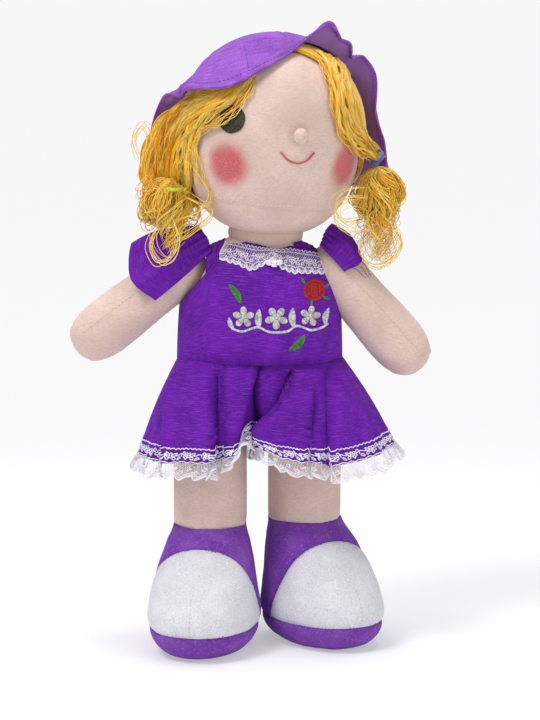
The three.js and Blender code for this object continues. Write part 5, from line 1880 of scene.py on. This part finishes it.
def comb(guides, count, steps, thickness, wave, lift=0.8, loose=0.5):
    """Wavy strands between guide lines, in clumps that share a wave, and layered outwards."""
    lines = guide_lines(guides, steps)
    place = rng.uniform(0, len(lines) - 1, count)
    low = np.minimum(place.astype(int), len(lines) - 2)
    paths = lerp(lines[low], lines[low + 1], (place - low)[:, None, None])
    layer = rng.uniform(0, 1, count) ** 0.8
    clump = np.floor(place / (len(lines) - 1) * LOCK_CLUMPS + layer * 1.7)
    phase = clump * 2.4 + rng.normal(0, 0.3, count)
    far = strand_lengths(paths)
    out = unit(paths / HEAD_HALF**2)
    tangent = unit(np.gradient(paths, axis=1))
    across = unit(np.cross(tangent, out))
    size = wave * (0.7 + 0.5 * np.sin(clump * 1.3))[:, None]
    pitch, start = rng.uniform(14, 34, (count, 1)), rng.uniform(0, 6.3, (count, 1))
    aside = size * np.sin(far * 2 * np.pi / 27 + phase[:, None])
    aside = aside + loose * np.sin(far * 2 * np.pi / pitch + start)
    swing = 0.6 * size * np.cos(far * 2 * np.pi / 23 + phase[:, None] * 1.4)
    above = lift + layer[:, None] * thickness + swing
    above = above * lerp(0.3, 1.0, smoothstep(np.linspace(0, 1, steps), 0.06, 0.36))
    paths = paths + across * aside[..., None] + out * above[..., None]
    # The tint paints light on outer layers and shade on inner ones; clumps and noise vary it at random.
    tint = np.clip(0.28 + 0.4 * layer + 0.22 * np.sin(clump * 1.7) + rng.normal(0, 0.16, count), 0, 1)
    return paths, tint


def under_hat(paths):
    """Keeps hair inside the hat where the hat lies close to the head."""
    polar = np.arccos(np.clip((unit(paths) * HAT_AXIS).sum(-1), -1, 1))
    room = 3.0 + 70 * smoothstep(polar, HAT_SEAM + 0.04, HAT_SEAM + 0.6)
    share = head_share(paths)
    return paths * np.minimum(1, (1 + room / HEAD_MEAN) / share)[..., None]


def lock_piece(side):
    strands, wisps = LOCK_COUNTS[side]
    paths, tint = comb(LOCK_GUIDES[side], strands, LOCK_STEPS, 5.5, 1.4)
    stray, pale = comb(LOCK_WISPS[side], wisps, LOCK_STEPS, 2.5, 1.0, lift=2.0, loose=1.1)
    paths = under_hat(off_head(np.concatenate([paths, stray]), 0.6))
    # The stray wisps stand out, so their tint is raised as painted light.
    tint = np.concatenate([tint, np.clip(pale + 0.2, 0, 1)])
    obj = hair_tubes(f"hair_lock_{side}_strands", paths, 0.3, tint)
    dress(obj, "hair", "head", [f"hair_lock_{side}"])


for side in SIDES:
    lock_piece(side)


def band_frame(side):
    """Where a lock's band sits, and which way the lock runs there."""
    before, centre, after = lock_line(side, np.array([BAND_SHARE - 0.01, BAND_SHARE, BAND_SHARE + 0.01]))
    return centre, unit(after - before)


def band_piece(side):
    """Several turns of covered elastic round the gathered hair."""
    centre, way = band_frame(side)
    first = unit(np.cross(way, [0, 0, 1.0]))
    second = np.cross(way, first)
    angle = np.linspace(0, 2 * np.pi * BAND_TURNS, 120)
    radius = (LOCK_WIDTH * 0.28 + BAND_TUBE) / 2 + 0.1
    wander = 0.35 * np.sin(angle * 1.4)
    line = centre + first * (radius * np.cos(angle))[:, None] + second * (radius * np.sin(angle))[:, None]
    line = line + way * (wander + (angle / angle[-1] - 0.5) * 1.6)[:, None]
    obj = tubes(f"hair_band_{side}_elastic", from_head(line[None]), 0.85, [0.5], sides=8)
    material = "yellow" if side == "right" else "blue"
    dress(obj, material, "head", [f"hair_band_{side}"])


for side in SIDES:
    band_piece(side)


# Each bunch: where it hangs, half its sizes, and where its strands leave the band
BUNCH = {
    "right": {"middle": (-64, -9, 310), "half": (27, 20, 34), "from": (-62, -4, 337)},
    "left": {"middle": (87, -2, 309), "half": (23, 18, 34), "from": (86, -6, 352)},
}
BUNCH_LOOPS = {
    "right": [
        [
            *((-46, -34, 352), (-38, -38, 342), (-33, -38, 330)),
            *((-40, -32, 318), (-52, -26, 309), (-66, -24, 304)),
        ],
        [
            *((-52, -30, 330), (-38, -34, 322), (-30, -34, 314)),
            *((-38, -34, 306), (-54, -34, 296), (-68, -32, 292)),
        ],
        [
            *((-70, -22, 312), (-78, -28, 300), (-74, -33, 287)),
            *((-64, -35, 280), (-58, -34, 288), (-62, -30, 298)),
        ],
        [
            *((-60, -24, 310), (-56, -34, 296), (-60, -37, 284)),
            *((-70, -36, 279), (-76, -32, 290), (-72, -26, 302)),
        ],
        [(-84, -10, 352), (-86, -8, 366), (-78, -12, 376), (-74, -14, 366), (-80, -12, 352), (-84, -10, 338)],
    ],
    "left": [
        [(78, -30, 330), (64, -36, 330), (54, -38, 324), (53, -38, 314), (60, -36, 306), (74, -30, 306)],
        [(80, -26, 322), (68, -34, 324), (58, -36, 318), (58, -36, 309), (68, -32, 302), (82, -26, 300)],
        [(100, -10, 300), (104, -12, 290), (96, -16, 280), (84, -18, 278), (76, -18, 286), (80, -16, 296)],
        [(92, -12, 304), (100, -14, 296), (98, -18, 284), (88, -20, 276), (78, -20, 282), (76, -18, 292)],
    ],
}


# A bunch's curls, the strands of each, the points of a strand, and the share at which a loop starts
RINGLETS, RINGLET_STRANDS, RINGLET_STEPS = 34, 19, 44
LOOP_START = 0.5
LOOP_STRANDS = 5


def looped_strand(axis, tangent, inward, part):
    """A strand that falls along the axis and ends in a loop."""
    size, sweep = rng.uniform(5.0, 10.5), rng.uniform(3.6, 6.4)
    bend = np.clip((part - LOOP_START) / (1 - LOOP_START), 0, 1) * sweep
    at = int(LOOP_START * len(part))
    ahead = unit(tangent[at] + rng.normal(0, 0.12, 3))
    aside = unit(inward - ahead * (inward @ ahead))
    fall = np.where((part <= LOOP_START)[:, None], axis, axis[at])
    loop = ahead * (size * np.sin(bend))[:, None] + aside * (size * (1 - np.cos(bend)))[:, None]
    drift = np.cross(ahead, aside) * (bend * rng.normal(0, 0.8))[:, None]
    line = fall + (loop + drift) * (part > LOOP_START)[:, None]
    jitter = rng.normal(0, 1.3, 3)
    jitter = jitter + np.sin(part * 11 + rng.uniform(0, 6))[:, None] * rng.normal(0, 0.5, 3)
    return line + jitter * smoothstep(part, 0.0, 0.4)[:, None]


def coiled_strand(axis, tangent, coil, turns, start, part):
    """A strand wound about the axis."""
    first = unit(np.cross(tangent, [0.3, 0.2, 1.0]))
    second = np.cross(tangent, first)
    angle = start + rng.normal(0, 0.4) + 2 * np.pi * (turns + rng.normal(0, 0.18)) * part
    reach = coil * (1 + rng.normal(0, 0.25)) + rng.normal(0, 0.8)
    stray = rng.normal(0, 1.5, 3) * smoothstep(part, 0, 0.6)[:, None]
    return axis + first * (reach * np.cos(angle))[:, None] + second * (reach * np.sin(angle))[:, None] + stray


def ringlet(index, middle, half, top):
    """One curl that falls from the band, as a clump of fine strands."""
    part = np.linspace(0, 1, RINGLET_STEPS)
    turn = 2 * np.pi * (index * 0.618 % 1)
    spread = 0.3 + 0.66 * math.sqrt((index + 0.5) / RINGLETS)
    fall = rng.uniform(-1.0, -0.1)
    aside = np.array([spread * math.cos(turn), spread * math.sin(turn)])
    goal = middle + half * np.array([*aside * math.sqrt(max(1 - fall**2, 0.2)) * 1.05, fall])
    belly = middle + half * np.array([*aside * 1.15, rng.uniform(0.3, 0.95)])
    share = part[:, None]
    axis = (1 - share) ** 2 * top + 2 * share * (1 - share) * belly + share**2 * goal
    tangent = unit(np.gradient(axis, axis=0))
    coil = rng.uniform(3.5, 7.5) * smoothstep(part, 0.02, 0.4)
    turns = rng.uniform(1.2, 2.6) * rng.choice([-1, 1])
    start = rng.uniform(0, 6.3)
    inward = unit(np.array([-aside[0], -aside[1], 0.4]) + rng.normal(0, 0.3, 3))
    paths, tints = [], []
    for _ in range(RINGLET_STRANDS):
        if index % 4 != 3:
            paths.append(looped_strand(axis, tangent, inward, part))
        else:
            paths.append(coiled_strand(axis, tangent, coil, turns, start, part))
        tints.append(np.clip(0.68 + 0.2 * math.sin(index * 2.1) + rng.normal(0, 0.2), 0, 1))
    return paths, tints


def bunch_piece(side):
    """Loose curls that fall from the band, within the bunch's form, and loops that stand out of it."""
    middle, top = in_head_frame(BUNCH[side]["middle"]), in_head_frame(BUNCH[side]["from"])
    half = np.array(BUNCH[side]["half"], float)
    paths, tints = [], []
    for index in range(RINGLETS):
        more, tones = ringlet(index, middle, half, top)
        paths += more
        tints += tones
    inside = (np.array(paths) - middle) / (half * 1.08)
    share = np.linalg.norm(inside, axis=-1, keepdims=True)
    paths = middle + inside / np.maximum(1, share**0.8) * (half * 1.08)
    loops, pale = [], []
    for row in BUNCH_LOOPS[side]:
        line = through([in_head_frame(place) for place in row], RINGLET_STEPS)
        centre = line.mean(0)
        for _ in range(LOOP_STRANDS):
            lean = np.array(Matrix.Rotation(rng.normal(0, 0.14), 3, "Y"))
            swung = (line - centre) @ lean * rng.uniform(0.66, 1.2)
            loops.append(centre + swung + rng.normal(0, 2.0, 3))
            # Loops that stand out of the bunch get pale tints, as painted light.
            pale.append(rng.uniform(0.6, 1.0))
    paths = off_head(np.concatenate([paths, loops]), 1.2)
    obj = hair_tubes(f"hair_bunch_{side}_ringlets", paths, 0.27, np.concatenate([tints, pale]))
    dress(obj, "hair", "head", [f"hair_bunch_{side}"])


for side in SIDES:
    bunch_piece(side)


# The strands of the cap on each side, and the points of a strand. The first ones leave the parting
CAP_STRANDS, CAP_STEPS = 900, 16
PARTING_SHARE = 0.22
# The plane that bounds the hair in front: its lean and how far in front of the head's middle it is
HAIRLINE_LEAN, HAIRLINE_AHEAD = math.radians(18), 6


def cap_strand(side, goal, part):
    """A strand over the back of the head to the band, and its tint."""
    along = rng.uniform(0, 1)
    polar = lerp(math.radians(34), math.radians(132), along)
    start = head_point(np.array(polar), math.pi + rng.normal(0, 0.02) - TOWARDS[side] * 0.02)
    if along < PARTING_SHARE:
        front = along / PARTING_SHARE
        start = head_point(np.array(lerp(0.42, 0.02, front)), rng.normal(0, 0.05))
    end = goal + rng.normal(0, 2.2, 3)
    bow = np.array([0, lerp(-8, 26, along), lerp(22, -16, along)])
    line = lerp(start, end, part[:, None]) + bow * np.sin(np.pi * part)[:, None]
    lift = 1.2 + rng.uniform(0, 2.4)
    surface = line / head_share(line)[:, None] * (1 + lift / HEAD_MEAN)
    clump = math.floor(along * 14)
    wave = (0.6 + 0.5 * math.sin(clump)) * np.sin(part * 9 + clump * 2.1 + rng.normal(0, 0.3))
    surface = surface + unit(np.cross(np.gradient(surface, axis=0), surface)) * wave[:, None]
    # Strands lying higher get a paler tint as painted light, and low ones a deeper tint as painted shade;
    # clumps and noise vary it at random.
    tint = 0.2 + lift * 0.14 + 0.18 * math.sin(clump * 1.9) + rng.normal(0, 0.14)
    return surface, np.clip(tint, 0, 1)


def root_shade_shell():
    """The plain shell under the cap's strands, behind the hairline, in a deep orange that paints the shade
    among the roots.
    """
    turns, polars = ring_angles(120), np.linspace(0.02, math.radians(135), 60)
    layers = [head_point(polars[:, None], turns[None], lift) for lift in (1.6, 0.4, 0.0)]
    outer, inner, level = (layer.reshape(-1, 3) for layer in layers)
    behind = level[:, 1] * math.cos(HAIRLINE_LEAN) + level[:, 2] * math.sin(HAIRLINE_LEAN) > -HAIRLINE_AHEAD
    faces = []
    for face in grid_faces(len(polars), len(turns), True):
        if all(behind[index] for index in face):
            faces.append(face[::-1])
            faces.append(tuple(index + len(outer) for index in face))
    base = mesh_from("root_shade_shell", from_head(np.concatenate([outer, inner])), faces)
    # A low tint keeps the shell at its deep orange, the painted shade under the strands.
    set_attribute(base, "tint", np.full(len(base.data.vertices), 0.12))
    loose = bmesh.new()
    loose.from_mesh(base.data)
    bmesh.ops.delete(loose, geom=[v for v in loose.verts if not v.link_faces], context="VERTS")
    loose.to_mesh(base.data)
    loose.free()
    base.data.materials.append(MATERIALS["hair_root_shade"])
    return base


def hair_cap():
    """Hair drawn from the parting over the back of the head towards each band."""
    part = np.linspace(0, 1, CAP_STEPS)
    paths, tints = [], []
    for side in SIDES:
        goal, _ = band_frame(side)
        for _ in range(CAP_STRANDS):
            path, tint = cap_strand(side, goal, part)
            paths.append(path)
            tints.append(tint)
    strands = hair_tubes("cap_strands", under_hat(np.array(paths)), 0.42, tints)
    strands.data.materials.append(MATERIALS["hair"])
    obj = join("hair_cap_strands", [strands, root_shade_shell()])
    dress(obj, "hair", "head", ["hair_cap"])


hair_cap()


# ---------------------------------------------------------------- stitches on the finished pieces


def surface_hits(piece, starts, way):
    """Where rays in the doll's own frame first meet a piece, and its normals there."""
    mesh = bpy.data.objects[piece].data
    tree = BVHTree.FromPolygons([v.co for v in mesh.vertices], [p.vertices for p in mesh.polygons])
    hits = [tree.ray_cast(placed(start), Vector(way)) for start in starts]
    hits = [hit for hit in hits if hit[0] is not None]
    return np.array([hit[0] / MM - SHIFT for hit in hits]), np.array([hit[1] for hit in hits])


def dashes(places, normals, length, gap, proud=0.15):
    """Stitches along a line of close places, each dipping into the cloth at both ends."""
    far = line_lengths(places)
    part = np.linspace(0, 1, 5)
    arch = proud * (np.sin(np.pi * part) * 1.6 - 0.6)
    stitches = []
    for start in np.arange(0, far[-1] - length, length + gap):
        at = start + part * length
        out = unit(at_lengths(normals, far, at))
        stitches.append(at_lengths(places, far, at) + out * arch[:, None])
    return stitches


def hit_seam(name, piece, starts, way, length, gap, material, body, radius=0.26):
    """Stitches where a line of rays meets a piece."""
    stitches = dashes(*surface_hits(piece, starts, way), length, gap)
    thread_piece(name, stitches, radius, material, body, sides=4)


def surface_dashes(surface, us, vs, facing, lift, length, gap, proud=0.25):
    """Stitches along a line of a cloth's own surface."""
    us, vs = np.broadcast_arrays(np.asarray(us, float), np.asarray(vs, float))
    normals = normals_of(surface, us, vs, facing)
    return dashes(surface(us, vs) + normals * lift, normals, length, gap, proud)


def limb_seams(side):
    along = np.linspace(4, 96, 120)
    aside = TOWARDS[side] * (5 + 3 * np.sin(along / 40))
    starts = from_arm(side, stacked(aside, -70.0, -along))
    arm, leg = f"arm_{side}", f"leg_{side}"
    hit_seam(f"{arm}_seam", f"{arm}_stuffed", starts, (0, 1, 0), 1.7, 1.5, "skin_seam", arm)
    starts = stacked(TOWARDS[side] * LEG_REACH, 90.0, np.linspace(92, 170, 90))
    hit_seam(f"{leg}_seam", f"{leg}_stuffed", starts, (0, -1, 0), 1.8, 1.5, "skin_seam", leg)


def chin_seam():
    x, z = np.array([(-31, 327.3), (-6, 323.8), (16, 321.3), (35.5, 321.0), (49.4, 321.7)]).T
    across = np.linspace(x[0], x[-1], 90)
    starts = stacked(across, -120.0, np.interp(across, x, z))
    hit_seam("chin_stitches", "head_stuffed", starts, (0, 1, 0), 1.4, 1.7, "pale_seam", "head")


def foot_frame(side):
    """The turn and the place of a foot in the doll's own frame."""
    place = np.array(foot_place(side))
    return place[:3, :3], place[:3, 3] - np.array(SHIFT)


def toe_seam(side):
    turn, place = foot_frame(side)
    starts = stacked(0.0, -140.0, np.linspace(20.5, 47, 50)) @ turn.T + place
    way = turn @ np.array([0, 1.0, 0])
    piece = f"toe_panel_{side}_padded"
    hit_seam(f"toe_seam_{side}", piece, starts, way, 1.7, 1.5, "panel_seam", f"leg_{side}", radius=0.3)


TUFTS, TUFT_BAND = 420, 1.2


def shoe_fuzz(side):
    """Tufts of plush that stand over the seams round the toe panel."""
    turn, place = foot_frame(side)
    part = np.linspace(0, 1, 4)[:, None]
    tufts = []
    for piece in ("shoe_upper", "shoe_sole"):
        obj = bpy.data.objects[f"{piece}_{side}_padded"]
        local = ((coordinates(obj) / MM - np.array(SHIFT)) - place) @ turn
        normals = vertex_normals(obj)
        ahead, above = panel_distance(local), local[:, 2] - SOLE_HEIGHT
        if piece == "shoe_upper":
            near, way = (np.abs(ahead) < TUFT_BAND) & (above > 0), turn @ PANEL_WAY
        else:
            near, way = (np.abs(above) < TUFT_BAND) & (ahead > 0), np.array([0, 0, 1.0])
        chosen = np.flatnonzero(near)
        chosen = rng.choice(chosen, min(len(chosen), TUFTS), replace=len(chosen) < TUFTS)
        for index in chosen:
            start = local[index] @ turn.T + place
            lean = unit(way + rng.normal(0, 0.45, 3))
            reach = rng.uniform(0.9, 2.1)
            tufts.append(start + lean * reach * part + normals[index] * (0.5 * np.sin(part * 2.2) - 0.1))
    thread_piece(f"shoe_fuzz_{side}", tufts, 0.24, "fuzz", f"leg_{side}", sides=4)


def bodice_stitches():
    """The rows of stitches under the bodice's upper edge in front and over its waist."""
    turns = np.linspace(0.5006, 0.9994, 500)
    points = torso_point(edge_heights(FRONT_EDGE, turns) - 2.6, turns)
    x, z = points[points[:, 1] < -4][:, [0, 2]].T
    stitches = dashes(on_bodice(x, z, 0.0), chest_normals(x, z), 1.9, 0.8, 0.22)
    x, z = np.linspace(-50, 54, 300), np.full(300, TORSO["waist"] + 1.6)
    stitches += dashes(on_bodice(x, z, 0.0), chest_normals(x, z), 2.0, 0.8, 0.22)
    thread_piece("bodice_stitches", stitches, 0.22, "seam", sides=4)


DART_TURNS = [angle % 360 / 360 for angle in range(-30, 300, 60)]
HEM_SEAM_SHARE = 0.84


def hat_stitches():
    """Double rows over the crown's seams, a row on both sides of the brim's hem, and one on each dart."""
    crown = lambda u, v: from_head(crown_surface(u, v))
    brim = lambda u, v: from_head(brim_point(u, v))
    stitches = []
    for seam in range(6):
        for aside in (-0.008, 0.008):
            us = np.linspace(0.03, 0.86, 160)
            vs = seam / 6 + aside / np.maximum(1 - us, 0.1)
            stitches += surface_dashes(crown, us, vs % 1, 1, HAT_THICKNESS, 2.2, 1.0)
    turns = np.linspace(0, 1, 900)
    for lift, proud in ((HAT_THICKNESS, 0.28), (0.0, -0.28)):
        stitches += surface_dashes(brim, HEM_SEAM_SHARE, turns, -1, lift, 2.2, 1.0, proud)
    us = np.linspace(0.08, HEM_SEAM_SHARE, 90)
    for turn in DART_TURNS:
        stitches += surface_dashes(brim, us, turn, -1, HAT_THICKNESS, 2.0, 0.9)
    thread_piece("hat_stitches", stitches, 0.24, "seam", "head", sides=4)


for side in SIDES:
    limb_seams(side)
chin_seam()
for side in SIDES:
    toe_seam(side)
    shoe_fuzz(side)
bodice_stitches()
hat_stitches()


# ---------------------------------------------------------------- stage and light

BACKDROP = (0.95, 0.95, 0.96, 1.0)
PAPER = (0.93, 0.93, 0.945, 1.0)
FLOOR_RINGS = (0.5, 1.0, 2.0, 4.0, 12.0, 60.0)
FLOOR_DROP = 0.0004
WORLD_STRENGTH = 0.42
# The lights: where they are, what they point at, their size in metres and their power in watts
LIGHTS = {
    "key": ((-1.2, -1.2, 2.5), (0, 0, 0.22), 0.9, 44),
    "fill": ((1.6, -1.6, 1.1), (0, 0, 0.22), 1.3, 11),
    "top": ((0.1, 0.3, 2.1), (0, 0, 0.3), 1.0, 21),
}


def stage():
    """A wide pale floor that keeps the object's shadow and fades into the backdrop's colour further off."""
    turns = ring_angles(64)
    points = [(0, 0, 0)]
    points += [(ring * math.sin(turn), ring * math.cos(turn), 0) for ring in FLOOR_RINGS for turn in turns]
    count = len(turns)
    faces = [(0, 1 + (index + 1) % count, 1 + index) for index in range(count)]
    faces += [tuple(1 + index for index in face) for face in grid_faces(len(FLOOR_RINGS), count, True)]
    floor_mesh = bpy.data.meshes.new("floor")
    floor_mesh.from_pydata(points, [], faces)
    floor = new_object("floor", floor_mesh)
    floor.location.z = -FLOOR_DROP
    shader = Shader("floor_paper")
    tree = shader.tree
    paper = shader.add("BsdfDiffuse", {"Color": PAPER})
    glow = shader.add("Emission", {"Color": BACKDROP, "Strength": 1.0})
    far = shader.add("VectorMath", {0: shader.object_place()}, operation="LENGTH").outputs["Value"]
    share = shader.math("MULTIPLY", shown(shader), shader.spread(far, 0.2, 1.3, 0.42, 0.97))
    mixed = shader.add("MixShader", {0: share, 1: paper.outputs[0], 2: glow.outputs[0]})
    tree.links.new(mixed.outputs[0], tree.nodes["Material Output"].inputs["Surface"])
    floor.data.materials.append(shader.material)


def shown(shader):
    """1 for rays that show the backdrop, and 0 for those that light the object."""
    path = shader.add("LightPath")
    seen = shader.math("MAXIMUM", path.outputs["Is Camera Ray"], path.outputs["Is Glossy Ray"])
    return shader.math("MAXIMUM", seen, path.outputs["Is Transmission Ray"])


def area_light(name, place, aim, size, power):
    data = bpy.data.lights.new(name, "AREA")
    data.shape = "SQUARE"
    data.size = size
    data.energy = power
    light = bpy.data.objects.new(name, data)
    bpy.context.scene.collection.objects.link(light)
    light.location = place
    light.rotation_euler = (Vector(aim) - Vector(place)).to_track_quat("-Z", "Y").to_euler()


def lighting():
    world = bpy.data.worlds.new("studio")
    world.use_nodes = True
    tree = world.node_tree
    soft = tree.nodes["Background"]
    soft.inputs["Color"].default_value = (1, 1, 1, 1)
    soft.inputs["Strength"].default_value = WORLD_STRENGTH
    backdrop = tree.nodes.new("ShaderNodeBackground")
    backdrop.inputs["Color"].default_value = BACKDROP
    path = tree.nodes.new("ShaderNodeLightPath")
    mixed = tree.nodes.new("ShaderNodeMixShader")
    tree.links.new(path.outputs["Is Camera Ray"], mixed.inputs[0])
    tree.links.new(soft.outputs[0], mixed.inputs[1])
    tree.links.new(backdrop.outputs[0], mixed.inputs[2])
    tree.links.new(mixed.outputs[0], tree.nodes["World Output"].inputs["Surface"])
    bpy.context.scene.world = world
    for name, settings in LIGHTS.items():
        area_light(name, *settings)


stage()
lighting()
bpy.context.scene.view_settings.view_transform = "Standard"
